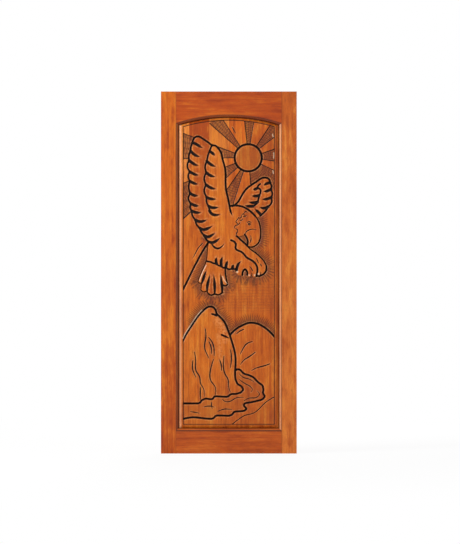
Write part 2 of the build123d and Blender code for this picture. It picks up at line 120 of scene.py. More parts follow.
mouth = [
    [(43, 1221), (104, 1166)],
    [(104, 1166), (107, 1192), (98, 1216), (90, 1229)],
    [(90, 1229), (66, 1221), (43, 1221)],
]
thigh_cut = [
    (13, 1197), (30, 1189), (40, 1173), (38, 1152), (47, 1142), (66, 1134), (85, 1119),
    (100, 1101), (122, 1088), (145, 1071), (159, 1047), (160, 1020), (155, 996),
]
belly_cuts = [
    [(-68, 1064), (-72, 1082), (-66, 1106)],
    [(-42, 1052), (-43, 1078), (-32, 1112)],
    [(-17, 1044), (-13, 1064), (-3, 1086)],
    [(20, 1038), (22, 1048), (28, 1062)],
    [(44, 1028), (48, 1050), (57, 1068), (76, 1083)],
]
foot_cuts = [[(104, 1003), (104, 1018), (91, 1034), (78, 1019), (76, 1003)]]
toe_cuts = [
    [(134, 1026), (126, 1040), (113, 1058)],
    [(166, 1070), (158, 1090), (148, 1105)],
    [(183, 1052), (179, 1062), (172, 1069)],
    [(128, 1000), (130, 1012), (128, 1020)],
    [(176, 1000), (180, 1014), (178, 1026)],
]
cere_line = [(90, 1231), (98, 1244), (112, 1254), (132, 1259), (155, 1256)]
beak_line = [(118, 1182), (125, 1202), (122, 1224)]
eye_centre = (115, 1288)
brow_line = [(103, 1296), (114, 1302), (127, 1296)]
ruffle = [
    [(90, 1334), (80, 1345), (72, 1336)], [(72, 1336), (66, 1322), (54, 1323)],
    [(56, 1326), (46, 1310), (38, 1300)], [(38, 1300), (48, 1292), (46, 1282)],
    [(46, 1282), (34, 1276), (32, 1264)], [(38, 1262), (48, 1256), (50, 1244)],
    [(50, 1244), (42, 1236), (44, 1228)],
    [(104, 1354), (94, 1358), (86, 1348)], [(98, 1336), (88, 1329), (80, 1332)],
    [(78, 1318), (69, 1308), (61, 1311)], [(64, 1298), (57, 1289), (50, 1281)],
]

# Tail: five feathers
tail_left = [(-126, 1080), (-135, 1055), (-148, 1028), (-161, 998), (-172, 966)]
tail_tips = [
    [(-172, 966), (-163, 956), (-152, 958)],
    [(-152, 958), (-156, 917)],
    [(-156, 917), (-140, 908), (-122, 914)],
    [(-122, 914), (-116, 899)],
    [(-116, 899), (-100, 889), (-79, 897)],
    [(-79, 897), (-58, 891), (-38, 903)],
    [(-38, 903), (-34, 948)],
    [(-34, 948), (-21, 941), (-7, 949)],
]
tail_right = [(-7, 949), (-14, 978), (-19, 1008), (-20, 1046)]
tail_root = [[(-20, 1046), (-40, 1100)], [(-40, 1100), (-100, 1100)], [(-100, 1100), (-126, 1080)]]
tail_cuts = [
    [(-152, 956), (-145, 975), (-137, 1000), (-124, 1031)],
    [(-122, 912), (-120, 945), (-113, 975), (-107, 1006)],
    [(-79, 895), (-79, 930), (-81, 965), (-85, 1008)],
    [(-37, 903), (-39, 945), (-43, 980), (-46, 1012)],
]

# Far wing, seen behind the head
far_edge = [
    (20, 1388), (42, 1402), (62, 1428), (80, 1460), (104, 1490), (134, 1512), (160, 1529),
    (184, 1545), (209, 1548), (227, 1538), (231, 1520),
]
far_cuts = [
    [(231, 1520), (212, 1515), (193, 1501)],
    [(236, 1483), (214, 1473), (189, 1471)],
    [(239, 1438), (210, 1428), (178, 1428)],
    [(222, 1386), (196, 1377), (166, 1386)],
]
far_tips = [(240, 1502), (244, 1460), (240, 1408)]
far_foot_of_wing = [
    [(222, 1386), (206, 1362), (176, 1334)], [(176, 1334), (140, 1310)], [(140, 1310), (20, 1388)],
]
far_coverts = [
    [(176, 1513), (165, 1503), (161, 1490)],
    [(161, 1490), (175, 1484), (172, 1447)],
    [(172, 1447), (168, 1436), (164, 1411)],
    [(164, 1411), (158, 1404), (137, 1388)],
]
far_covert_cuts = [
    [(161, 1490), (148, 1484), (133, 1482)],
    [(170, 1448), (148, 1445), (124, 1447)],
    [(162, 1412), (136, 1408), (106, 1414)],
    [(137, 1388), (112, 1388), (86, 1393)],
    [(177, 1343), (162, 1359), (143, 1375)],
]

# Sun rays: the sunk ones, as corners round the sun's centre
dark_rays = [
    [(-110, 1851), (-60, 1900), (-47, 1900)],
    [(82, 1900), (149, 1900)],
    [(262, 1894), (300, 1808)],
    [(300, 1727), (300, 1633)],
    [(300, 1571), (262, 1484), (122, 1484)],
    [(16, 1366), (-42, 1440)],
    [(-18, 1540), (-207, 1331), (-300, 1226), (-300, 1503)],
    [(-300, 1651), (-300, 1817)],
]
ray_line = [(20, 1832), (38, 1798)]
far_ray_line = [(-148, 1180), (-170, 1155), (-192, 1115), (-218, 1074)]
ray_edge = [(-114, 1186), (-150, 1130), (-172, 1090), (-200, 1036), (-228, 978), (-262, 910)]
open_corner = [[(-262, 910), (-300, 860)], [(-300, 860), (-300, 1240)], [(-300, 1240), (-114, 1186)]]

# Land: the mountain, the hill and the stream between them
mountain = [
    [
        (-270, 606), (-240, 667), (-205, 722), (-171, 772), (-138, 807), (-104, 825), (-82, 816),
        (-69, 784),
    ],
    [(-69, 784), (-42, 759), (-17, 724), (-4, 690), (6, 664)],
]
hill = [(6, 664), (32, 691), (72, 717), (110, 732), (150, 731), (195, 711), (225, 688), (270, 638)]
land_foot = [[(270, 638), (270, 150)], [(270, 150), (-270, 150)], [(-270, 150), (-270, 606)]]
mountain_side = [(6, 664), (19, 622), (31, 580), (37, 542), (38, 505), (35, 462)]
stream_mouth = [(-270, 190), (-270, 281)]
flat_bank = [(-270, 281), (-172, 281)]
near_bank = [
    (-172, 281), (-160, 286), (-153, 298), (-130, 309), (-108, 305), (-91, 305), (-79, 322),
    (-40, 319), (-6, 318), (12, 334), (40, 334), (68, 342), (82, 360), (70, 378), (48, 390),
    (36, 420), (35, 462), (44, 472),
]
far_bank = [
    (44, 472), (62, 472), (84, 448), (115, 439), (140, 427), (164, 400), (190, 382), (195, 358),
    (191, 340), (203, 320), (188, 302), (133, 289), (90, 282), (83, 270), (101, 250), (85, 238),
    (30, 235), (19, 218), (0, 211), (-40, 213), (-72, 213), (-90, 194), (-130, 196),
    (-196, 204), (-236, 199), (-270, 190),
]
second_peak = [(-104, 785), (-80, 779), (-69, 774)]
side_notch = [(-40, 666), (-18, 656), (10, 643)]
stream_ripples = [
    [(-140, 261), (-110, 266), (-80, 260)],
    [(-216, 235), (-190, 231), (-165, 226)],
    [(-62, 236), (-30, 248), (18, 246)],
    [(-36, 305), (-20, 292), (12, 295), (40, 311), (84, 314)],
    [(-97, 290), (-97, 268), (-93, 250)],
    [(60, 446), (82, 427), (116, 417), (142, 401)],
    [(60, 416), (90, 393), (118, 378), (132, 358), (124, 344)],
    [(86, 297), (118, 311), (158, 316), (172, 332), (158, 352)],
]
hill_creases = [
    [(132, 628), (104, 618), (82, 592), (64, 558)],
    [(148, 568), (114, 543), (82, 521), (66, 500)],
    [(230, 503), (195, 491), (158, 481), (128, 466)],
    [(84, 697), (62, 687), (44, 672)],
]
bank_line = [(16, 163), (50, 188), (92, 214), (136, 226), (170, 250), (200, 281), (256, 318)]
mountain_cracks = [
    [(-193, 570), (-186, 515), (-182, 460), (-164, 430), (-158, 392), (-143, 366), (-138, 320)],
    [(-202, 522), (-202, 470), (-184, 428)],
    [(-132, 700), (-129, 650), (-136, 598), (-122, 556), (-111, 534)],
    [(-113, 652), (-92, 622), (-82, 580), (-82, 548)],
    [(-86, 528), (-102, 474), (-98, 404), (-78, 376), (-75, 330)],
    [(-51, 526), (-43, 500), (-41, 466)],
    [(-27, 546), (-30, 505), (-20, 444), (-4, 415), (0, 372), (9, 344)],
    [(10, 582), (15, 535), (8, 480)],
    [(-112, 628), (-100, 600), (-97, 560)],
    [(-159, 372), (-160, 330), (-158, 302)],
]

# Light places: talons' tips worn pale, with their radii; a painted highlight down the mountain's right
# flank, with its reach and share; and painted glints along crests, with their shift on the panel (ray ends,
# mountain's slope, tail's outer feathers)
pale_spots = [
    ((47, 1019), 9.0), ((115, 1000), 7.0), ((144, 1002), 7.0), ((167, 1008), 8.0),
]
highlight_flanks = [
    ([(-62, 744), (-42, 716), (-28, 680), (-22, 640)], 34.0, 0.8),
    ([(-58, 660), (-52, 590), (-44, 520)], 26.0, 0.5),
]
glint_crests = [
    ([(252, 1688), (252, 1658)], (0.0, 0.0)),
    ([(245, 1793), (249, 1778)], (0.0, 0.0)),
    ([(247, 1588), (250, 1572)], (0.0, 0.0)),
    ([(-252, 642), (-240, 667), (-205, 722), (-171, 772), (-146, 800)], (-6.0, 4.5)),
    ([(-134, 1055), (-148, 1028), (-161, 998), (-171, 968)], (7.0, 2.0)),
    ([(-38, 990), (-24, 962), (-12, 950)], (3.0, 4.0)),
]


def linear(display: Colour) -> Colour:
    """Scene-linear colour of a display colour with channels from 0 to 255, by the sRGB curve."""
    share = np.array(display) / 255.0
    return tuple(np.where(share <= 0.04045, share / 12.92, ((share + 0.055) / 1.055) ** 2.4).tolist())


def smooth_step(low: float, high: float, values: np.ndarray) -> np.ndarray:
    """Rise from 0 at low to 1 at high along the cubic 3t^2 - 2t^3; low above high gives a fall."""
    share = np.clip((values - low) / (high - low), 0.0, 1.0)
    return share * share * (3.0 - 2.0 * share)


def smooth_run(knots: np.ndarray, pitch: float) -> np.ndarray:
    """Smooth curve through points: a natural cubic spline over the length of its chords.

    Each span is the cubic whose second derivatives at its ends solve the usual tridiagonal system.

    Args:
        knots: Points the curve passes through, one in each row.
        pitch: Greatest spacing of the returned points.

    Returns:
        Points along the curve, one in each row.
    """
    chords = np.hypot(*np.diff(knots, axis=0).T)
    at = np.concatenate([[0.0], np.cumsum(chords)])
    where = np.linspace(0.0, at[-1], max(2, math.ceil(at[-1] / pitch) + 1))
    size = len(knots)
    system, right = np.eye(size), np.zeros((size, 2))
    slopes = np.diff(knots, axis=0) / chords[:, None]
    for row in range(1, size - 1):
        system[row, row - 1 : row + 2] = chords[row - 1], 2 * (chords[row - 1] + chords[row]), chords[row]
        right[row] = 6 * (slopes[row] - slopes[row - 1])
    bend = np.linalg.solve(system, right)
    span = np.clip(np.searchsorted(at, where, side="right") - 1, 0, size - 2)
    width = chords[span][:, None]
    before = (where - at[span])[:, None]
    after = width - before
    return (
        (bend[span] * after**3 + bend[span + 1] * before**3) / (6 * width)
        + (knots[span] / width - bend[span] * width / 6) * after
        + (knots[span + 1] / width - bend[span + 1] * width / 6) * before
    )


def scallops(cuts: list[Run], tips: Run) -> list[Run]:
    """Runs of a feathered edge, from each cut's outer end over the feather's tip to the next cut."""
    return [[here[0], tip, after[0]] for here, tip, after in zip(cuts, tips, cuts[1:])]


def placed(name: str, data: bpy.types.ID) -> bpy.types.Object:
    """Make an object and link it to the scene.

    Args:
        name: The object's name.
        data: Its mesh, lamp or camera.

    Returns:
        The object.
    """
    made = bpy.data.objects.new(name, data)
    bpy.context.scene.collection.objects.link(made)
    return made


class Depth(Enum):
    """Depth of each carved level under the panel's face, in millimetres."""

    SKY = 1.6
    RAY = 5.0
    FAR_WING = 1.3
    BIRD = 0.3
    TAIL = 0.9
    SUN = 0.5
    LAND = 0.7
    STREAM = 2.6
    MOUTH = 6.0


@dataclass(frozen=True)
class Leaf:
    """Sizes of the leaf that the panel is fitted to, and of the field that the carving is drawn on."""

    width: float = 762.0
    height: float = 2032.0
    stile: float = 99.0
    bottom_rail: float = 142.0
    top_rail: float = 145.0
    arch_rise: float = 43.5
    panel: float = 38.0
    tongue: float = 12.7
    tongue_reach: float = 10.0
    moulding: float = 14.0
    field_step: float = 1.5
    step_ease: float = 0.35
    bevel_start: float = 1.0
    bevel_side: float = 18.0
    bevel_bottom: float = 16.0
    bevel_top: float = 12.5
    border_side: float = 26.0
    border_bottom: float = 22.0
    border_top: float = 16.0
    drawn_half_width: float = 256.0
    drawn_bottom: float = 164.0
    drawn_crown: float = 1871.0

    @property
    def sight(self) -> float:
        """Half the width of the opening."""
        return self.width / 2 - self.stile

    @property
    def crown(self) -> float:
        """Height of the opening's highest point."""
        return self.height - self.top_rail

    @property
    def radius(self) -> float:
        """Radius of the arch over the opening."""
        return (self.sight**2 + self.arch_rise**2) / (2 * self.arch_rise)

    @property
    def bevel_lines(self) -> list[float]:
        """Places across the door of the lines that bound the side bevels and their steps."""
        marks = (self.bevel_start, self.bevel_side, self.bevel_side + self.step_ease)
        return [side * (self.sight - inward) for side in (-1, 1) for inward in marks]

    def arch(self, across: np.ndarray, inward: float) -> np.ndarray:
        """Height of the arch moved inward, at places across the door, by Pythagoras in its circle."""
        return self.crown - self.radius + np.sqrt((self.radius - inward) ** 2 - across**2)

    def inward(self, x: np.ndarray, z: np.ndarray, side: float, bottom: float, top: float) -> np.ndarray:
        """Distance inward from the nearest of the opening's lines, moved in by side, bottom and top."""
        return np.minimum.reduce(
            [self.sight - side - np.abs(x), z - self.bottom_rail - bottom, self.arch(x, top) - z]
        )

    def drawn(self, points: Run) -> np.ndarray:
        """Place of drawn points on the panel: the drawing's field stretched to the incised border.

        Args:
            points: Points of the drawing.

        Returns:
            Points on the panel, one in each row.
        """
        across, up = np.array(points, dtype=float).T
        bottom, crown = self.bottom_rail + self.border_bottom, self.crown - self.border_top
        share = (up - self.drawn_bottom) / (self.drawn_crown - self.drawn_bottom)
        half = self.sight - self.border_side
        return np.stack([across * half / self.drawn_half_width, bottom + share * (crown - bottom)], axis=1)


@dataclass(frozen=True)
class Cut:
    """One size of V-shaped gouge cut, in millimetres, and how it is dressed.

    ink is the share of stain in it, shoulder how far the wood beside it is eased, and spread how wide.
    """

    width: float
    depth: float
    ink: float = 1.0
    shoulder: float = 1.6
    spread: float = 11.0


HEAVY = Cut(13.0, 7.4, shoulder=2.6, spread=18.0)
RING = Cut(14.0, 7.0, shoulder=3.0, spread=20.0)
BARB = Cut(18.6, 7.0, shoulder=2.6, spread=18.0)
FEATHER = Cut(12.0, 6.2, shoulder=2.4, spread=16.0)
SOFT = Cut(8.5, 5.4, ink=0.55, shoulder=2.4, spread=16.0)
CONTOUR = Cut(9.5, 6.4, ink=0.85, shoulder=2.8, spread=20.0)
CREASE = Cut(6.4, 3.4, ink=0.9, shoulder=0.6, spread=8.0)
FINE = Cut(7.0, 2.6, ink=0.95, shoulder=0.6, spread=8.0)
FOLD = Cut(8.6, 3.0, ink=0.98, shoulder=2.8, spread=18.0)
RIPPLE = Cut(7.2, 2.4, ink=0.92, shoulder=1.4, spread=13.0)
TAIL_RIM = Cut(10.5, 6.0, ink=0.85, shoulder=2.4, spread=16.0)
BORDER = Cut(4.4, 1.6, ink=0.85)


@dataclass
class Plan:
    """Grid of points over the panel as it is seen square on, dense enough for the gouge cuts.

    Columns run up the boards. Rows keep their distance from the bottom rail near it and from the arch
    near that, and are spread evenly between, so the panel's bevels lie along rows and columns.
    """

    leaf: Leaf
    joints: list[float]
    pitch: float = 1.7
    columns: np.ndarray = field(init=False)
    x: np.ndarray = field(init=False)
    z: np.ndarray = field(init=False)

    def __post_init__(self) -> None:
        """Work out the columns, the rows and the two coordinate arrays."""
        leaf, ease = self.leaf, self.leaf.step_ease
        self.columns = self.spread(sorted([*self.joints, *leaf.bevel_lines]))
        low = [-leaf.tongue_reach, leaf.bevel_start, leaf.bevel_bottom, leaf.bevel_bottom + ease]
        high = [leaf.bevel_top + ease, leaf.bevel_top, leaf.bevel_start, -leaf.tongue_reach]
        lower, inward = leaf.bottom_rail + self.spread(low), self.spread(high)
        foot, head = lower[-1], leaf.arch(self.columns, inward[0])
        count = math.ceil((leaf.crown - inward[0] - foot) / self.pitch)
        share = (np.arange(1, count) / count)[:, None]
        top = np.stack([leaf.arch(self.columns, float(value)) for value in inward])
        bottom = np.repeat(lower[:, None], len(self.columns), axis=1)
        self.z = np.concatenate([bottom, foot + share * (head[None, :] - foot), top])
        self.x = np.broadcast_to(self.columns, self.z.shape)

    def spread(self, marks: list[float]) -> np.ndarray:
        """Values through the marks, evenly spread between them and no further apart than the pitch.

        Args:
            marks: Values that have to be met, in order.

        Returns:
            All the values, in the same order.
        """
        runs = [
            np.linspace(here, after, max(1, math.ceil(abs(after - here) / self.pitch)), endpoint=False)
            for here, after in zip(marks, marks[1:])
        ]
        return np.concatenate([*runs, [marks[-1]]])

    def window(self, low: np.ndarray, high: np.ndarray) -> Window:
        """Rows and columns that cover a box.

        Args:
            low: Lowest corner of the box.
            high: Highest corner of the box.

        Returns:
            The slice of rows and the slice of columns.
        """
        crown, spring = self.z[:, len(self.columns) // 2], self.z[:, 0]
        rows = slice(int(np.searchsorted(crown, low[1])), int(np.searchsorted(spring, high[1])))
        return rows, slice(*np.searchsorted(self.columns, [low[0], high[0]]))

    def inside(self, rim: np.ndarray) -> np.ndarray:
        """Which grid points lie inside a closed outline, by counting the edges to their right.

        Args:
            rim: Corners of the outline, one in each row.

        Returns:
            A boolean array like the grid.
        """
        here = self.window(rim.min(axis=0), rim.max(axis=0))
        x, z = self.x[here], self.z[here]
        odd = np.zeros(x.shape, dtype=bool)
        for (x0, z0), (x1, z1) in zip(rim, np.roll(rim, -1, axis=0)):
            if z0 != z1:
                odd ^= ((z0 > z) != (z1 > z)) & (x < (x1 - x0) * (z - z0) / (z1 - z0) + x0)
        result = np.zeros(self.x.shape, dtype=bool)
        result[here] = odd
        return result


@dataclass
class Relief:
    """The cuts as arrays over the plan: their V, their eased shoulders, the stain in them, their rubbed lips
    with a painted rim highlight.
    """

    leaf: Leaf
    plan: Plan
    line_pitch: float = 4.0
    corner: float = 0.18
    groove: np.ndarray = field(init=False)
    shoulder: np.ndarray = field(init=False)
    ink: np.ndarray = field(init=False)
    lip_and_highlight: np.ndarray = field(init=False)

    def __post_init__(self) -> None:
        """Start with uncut wood."""
        self.groove, self.shoulder, self.ink, self.lip_and_highlight = np.zeros((4, *self.plan.x.shape))

    def line(self, points: Run) -> np.ndarray:
        """Smooth line on the panel through drawn points."""
        return smooth_run(self.leaf.drawn(points), self.line_pitch)

    def stepped(self, points: Run) -> np.ndarray:
        """Straight line on the panel, each side cut a little short where it meets the next.

        Args:
            points: Drawn points of its corners.

        Returns:
            Points along the line, one in each row.
        """
        line, near = self.leaf.drawn(points), self.corner
        first, last = line[:-1] * (1 - near) + line[1:] * near, line[:-1] * near + line[1:] * (1 - near)
        return np.concatenate([line[:1], np.stack([first, last], axis=1).reshape(-1, 2)[1:-1], line[-1:]])

    def rim(self, *runs: Run) -> np.ndarray:
        """Closed outline on the panel through smooth runs that meet at corners, in any direction.

        Args:
            runs: The runs; each next one is the one that starts or ends nearest to where the last ended.

        Returns:
            Points round the outline, one in each row.
        """
        left = [self.line(run) for run in runs]
        chain = [left.pop(0)]
        while left:
            ways = [way for line in left for way in (line, line[::-1])]
            best = int(np.argmin([np.hypot(*(way[0] - chain[-1][-1])) for way in ways]))
            chain.append(ways[best])
            left.pop(best // 2)
        return np.concatenate([line[:-1] for line in chain])

    def beside(
        self, first: np.ndarray, last: np.ndarray, reach: float
    ) -> tuple[Window, np.ndarray, np.ndarray]:
        """Grid points beside a straight piece of a line.

        Args:
            first: Where the piece starts.
            last: Where it ends.
            reach: How far round it the window goes.

        Returns:
            The window, and at each of its points the share of the piece passed and the distance to it.
        """
        here = self.plan.window(np.minimum(first, last) - reach, np.maximum(first, last) + reach)
        x, z = self.plan.x[here] - first[0], self.plan.z[here] - first[1]
        way = last - first
        along = np.clip((x * way[0] + z * way[1]) / max(way @ way, 1e-9), 0.0, 1.0)
        return here, along, np.hypot(x - along * way[0], z - along * way[1])

    def gouge(self, line: np.ndarray, cut: Cut, start: float = 1.0, end: float = 1.0) -> None:
        """Cut a V along a line, with eased shoulders beside it, stain in it and rubbed lips that also carry a
        painted rim highlight.

        At a share q of the half width from the line the cut is depth * (1 + cos(pi q)) / 2 deep, so its
        lips are rounded, and the shoulder falls by the square of its own share. Both swell from start at
        the line's first point to full at a third of it, and fade to end over its second half. Where cuts
        cross, the deepest wins.

        Args:
            line: Points of the line, one in each row.
            cut: Size and dressing of the cut.
            start: Share of its size at the first point.
            end: Share of its size at the last point.
        """
        gone = np.linspace(0.0, 1.0, len(line))
        swell = np.minimum(start + (1 - start) * 3 * gone, end + (1 - end) * 2 * (1 - gone)).clip(max=1.0)
        for first, last, thick, thin in zip(line, line[1:], swell, swell[1:]):
            here, along, away = self.beside(first, last, max(cut.width, cut.spread))
            size = np.maximum(thick + (thin - thick) * along, 0.05)
            share = away / (cut.width / 2 * size)
            fall = 0.5 + 0.5 * np.cos(np.pi * share.clip(max=1.0))
            ease = (1.0 - away / cut.spread).clip(min=0.0) ** 2
            stain = smooth_step(1.2, 0.6, share) * np.minimum(1.0, size * 1.6)
            # Pale band just past the cut's rim: rubbed wear with a painted rim highlight.
            rubbed_and_highlight = smooth_step(1.05, 1.35, share) * smooth_step(cut.width * 0.9, cut.width * 0.6, away)
            for whole, part in (
                (self.groove, cut.depth * size * fall), (self.shoulder, cut.shoulder * size * ease),
                (self.ink, cut.ink * stain), (self.lip_and_highlight, cut.ink * size * rubbed_and_highlight),
            ):
                np.maximum(whole[here], part, out=whole[here])

    def reach_of(
        self, runs: list[Run], reach: float, shift: Point = (0.0, 0.0)
    ) -> tuple[np.ndarray, np.ndarray]:
        """Distance to the nearest of some lines, and the length along them to the nearest place.

        Args:
            runs: Drawn points of each line.
            reach: Distance past which the result stays at that value.
            shift: How far the lines are moved on the panel.

        Returns:
            The array of distances and the array of lengths along the lines, both like the grid.
        """
        away, run, gone = np.full(self.plan.x.shape, reach), np.zeros(self.plan.x.shape), 0.0
        for line in (self.line(points) + np.array(shift) for points in runs):
            for first, last in zip(line, line[1:]):
                here, along, near = self.beside(first, last, reach)
                length = float(np.hypot(*(last - first)))
                closer = near < away[here]
                away[here] = np.where(closer, near, away[here])
                run[here] = np.where(closer, gone + along * length, run[here])
                gone += length
        return away, run


@dataclass
class Carving:
    """The whole carved picture: sun and rays, bird, mountains, hill and stream."""

    leaf: Leaf
    plan: Plan
    sun_centre: Point = (109.0, 1660.0)
    sun_radius: float = 70.0
    sun_ring: float = 12.0
    eye_radius: float = 5.0
    ray_ease: float = 2.5
    scoop: float = 4.2
    scoop_reach: float = 62.0
    fold_reach: float = 17.0
    rounding_reach: float = 30.0
    glint_reach: float = 5.0
    depth: np.ndarray = field(init=False)
    stains_and_shading: dict[str, np.ndarray] = field(init=False)

    def __post_init__(self) -> None:
        """Cut the lines, place the forms, then sink the levels and stain the result."""
        self.relief = Relief(self.leaf, self.plan)
        self.cut_lines()
        self.place_forms()
        self.sink()

    def cut_lines(self) -> None:
        """Cut every drawn line, by rows of runs, their cut and its shares at their two ends."""
        relief = self.relief
        outlines = [
            wing_top, leading_edge, head_top[:6], thigh_cut, far_edge, ray_edge, *mountain, hill,
            mountain_side,
        ]
        edges = [
            *scallops(outer_cuts, outer_tips), *scallops([[covert_top], *covert_cuts[1:]], covert_tips),
            *scallops(far_cuts, far_tips), *far_coverts, far_foot_of_wing[0], *belly_scallops, *foot_cuts,
            far_foot, *mouth[:2],
        ]
        rows = (
            (outlines, HEAVY, 1.0, 1.0), ([wing_root_cut, side_notch], HEAVY, 1.0, 0.0),
            ([second_peak], HEAVY, 0.0, 1.0), ([last_feather_cut], HEAVY, 0.6, 0.2),
            (edges, FEATHER, 1.0, 1.0), ([head_top[4:], far_leg_top], CONTOUR, 0.8, 1.0),
            ([tail_left, back_line, *tail_tips[:4]], SOFT, 1.0, 1.0),
            ([tail_right, *tail_tips[4:]], TAIL_RIM, 1.0, 1.0), (tail_cuts, BARB, 0.6, 0.2),
            ([*outer_cuts, *covert_cuts, *far_cuts, *far_covert_cuts, *belly_cuts], BARB, 1.0, 0.0),
            (ruffle, CREASE, 0.7, 0.7), ([*toe_cuts, far_ray_line], CREASE, 1.0, 0.0),
            ([bank_line], CREASE, 1.0, 1.0), (hill_creases, FOLD, 0.7, 0.5),
            (mountain_cracks, FOLD, 0.6, 0.5), (stream_ripples, RIPPLE, 0.6, 0.5),
            ([cere_line, beak_line, brow_line, ray_line], FINE, 0.6, 0.5),
        )
        for runs, cut, start, end in rows:
            for points in runs:
                relief.gouge(relief.line(points), cut, start, end)
        for points in (flat_bank, near_bank, far_bank):
            relief.gouge(relief.stepped(points), HEAVY)
        relief.gouge(self.circle(eye_centre, self.eye_radius), FINE)
        relief.gouge(self.circle(self.sun_centre, self.sun_radius + self.sun_ring / 2), RING)

    def circle(self, centre: Point, radius: float) -> np.ndarray:
        """Closed circle on the panel round a drawn point, as cosine and sine of even angles."""
        turn = np.linspace(0.0, 2 * np.pi, max(24, int(radius)))
        return self.leaf.drawn([centre])[0] + radius * np.stack([np.cos(turn), np.sin(turn)], axis=1)

    def place_forms(self) -> None:
        """Find which grid points belong to each form of the picture."""
        rim, inside = self.relief.rim, self.plan.inside
        self.mouth = inside(rim(*mouth))
        self.bird = ~self.mouth & inside(rim(
            wing_top, *scallops(outer_cuts, outer_tips), back_line, *belly_scallops, *toes, far_foot,
            far_leg_top, head_top, leading_edge,
        ))
        self.far_wing = inside(rim(far_edge, *scallops(far_cuts, far_tips), *far_foot_of_wing))
        self.tail = inside(rim(tail_left, *tail_tips, tail_right, *tail_root))
        self.land = inside(rim(*mountain, hill, *land_foot))
        self.stream = inside(rim(stream_mouth, flat_bank, near_bank, far_bank))
        self.centre = self.leaf.drawn([self.sun_centre])[0]
        across, up = self.plan.x - self.centre[0], self.plan.z - self.centre[1]
        self.from_sun, self.turn = np.hypot(across, up), np.arctan2(up, across)
        self.sun = self.from_sun < self.sun_radius + self.sun_ring / 2

    def ray_shares(self) -> tuple[np.ndarray, np.ndarray]:
        """Shares of each point that lie in a sunk ray and in the dark line inside its edges.

        Each sunk ray is a wedge between two directions from the sun's centre, and its share rises from 0
        to 1 across each of its two edges.

        Returns:
            The share of the rays and the share of their dark lines, both like the grid.
        """
        share, line = np.zeros((2, *self.plan.x.shape))
        for corners in dark_rays:
            outer = self.leaf.drawn(corners)
            within = self.plan.inside(np.concatenate([self.centre[None, :], outer]))
            first, last = (math.atan2(up, across) for across, up in (outer - self.centre)[[0, -1]])
            half = math.remainder(first - last, 2 * math.pi) / 2
            middle = last + half
            off = np.abs(np.arctan2(np.sin(self.turn - middle), np.cos(self.turn - middle)))
            inward = (abs(half) - off) * self.from_sun
            share = np.maximum(share, within * smooth_step(0.0, self.ray_ease, inward))
            line = np.maximum(line, within * smooth_step(5.4, 1.8, np.abs(inward - 1.5)))
        return share, line

    def sink(self) -> None:
        """Combine levels, hollows round the figures, shoulders and cuts into one depth, and stain them, with
        some painted shade and highlights.

        The ground round the figures is scooped: it falls by the square of the nearness to them, though
        not left of the long ray's edge.
        """
        leaf, relief, x, z = self.leaf, self.relief, self.plan.x, self.plan.z
        rays, ray_lines = self.ray_shares()
        figures = self.bird | self.far_wing | self.tail | self.land | self.sun
        scooped = [
            head_top[4:], far_leg_top, far_foot, *toes, back_line, tail_left, tail_right, *tail_tips,
            mountain[0][2:], mountain[1][:4], hill,
        ]
        near, run = relief.reach_of(scooped, self.scoop_reach)
        haze = (1 - near / self.scoop_reach) * ~figures * smooth_step(-262, -210, x)
        haze = haze * ~self.plan.inside(relief.rim(ray_edge, *open_corner))
        level = Depth.SKY.value + (Depth.RAY.value - Depth.SKY.value) * rays * (1 - haze)
        level = level + self.scoop * haze**2
        for form, sunk in (
            (self.sun, Depth.SUN), (self.far_wing, Depth.FAR_WING), (self.tail, Depth.TAIL),
            (self.bird, Depth.BIRD), (self.land, Depth.LAND), (self.stream, Depth.STREAM),
            (self.mouth, Depth.MOUTH),
        ):
            level = np.where(form, sunk.value, level)
        within = leaf.inward(x, z, leaf.border_side, leaf.border_bottom, leaf.border_top)
        carved = smooth_step(-0.8, 0.8, within)
        border = np.clip(1 - np.abs(within) / (BORDER.width / 2), 0.0, 1.0)
        self.depth = np.maximum((level + relief.groove + relief.shoulder) * carved, BORDER.depth * border)
        comb = smooth_step(-70, 20, x) * smooth_step(770, 820, z) * smooth_step(1010, 930, z)
        self.stains_and_shading = {
            "ink": np.maximum.reduce([
                relief.ink * carved, BORDER.ink * smooth_step(3.6, 1.2, np.abs(within)),
                # Painted shade in the gap where the panel meets the frame's moulding.
                0.75 * smooth_step(6.0, 0.5, leaf.inward(x, z, 0.0, 0.0, 0.0)),
                0.85 * ray_lines * carved * ~figures,
            ]),
            "haze": haze * carved,
            "run": run / 1000,
            "ray": rays * ~(figures | self.mouth) * carved,
            "mouth": self.mouth.astype(float),
            "around": self.turn * 0.2,
            "from": self.from_sun / 1000,
            # Stain on the sun and stream, and painted shade in the folds' hollows and at the land's rims.
            "tone_and_shade": self.tone_and_shade(near) * carved,
            "comb": comb * ~figures * (1 - rays) * carved,
            # Worn talon tips, painted glints along some crests and a painted highlight on the left bevel.
            "bare_and_highlight": self.bare_and_highlight(),
            "form": figures.astype(float),
            # Rubbed lips of the cuts with their painted rim highlight, and a painted highlight down the
            # mountain's right flank.
            "lip_and_highlight": np.maximum(relief.lip_and_highlight, self.flank_highlight()) * carved * np.clip(1.0 - 1.6 * relief.ink, 0.0, 1.0),
        }

    def tone_and_shade(self, near: np.ndarray) -> np.ndarray:
        """Share of darkening over whole forms: stain on the sun's disc and the stream, painted shade in the
        hollows of the folds.

        A fold's painted shade fades by the square of the distance from its cut, and the land is darker
        towards its foot and has painted shade at its rounded rims.

        Args:
            near: Distance to the outlines with scooped ground.

        Returns:
            An array like the grid, from 0 to 1.
        """
        fold, _ = self.relief.reach_of(mountain_cracks, self.fold_reach)
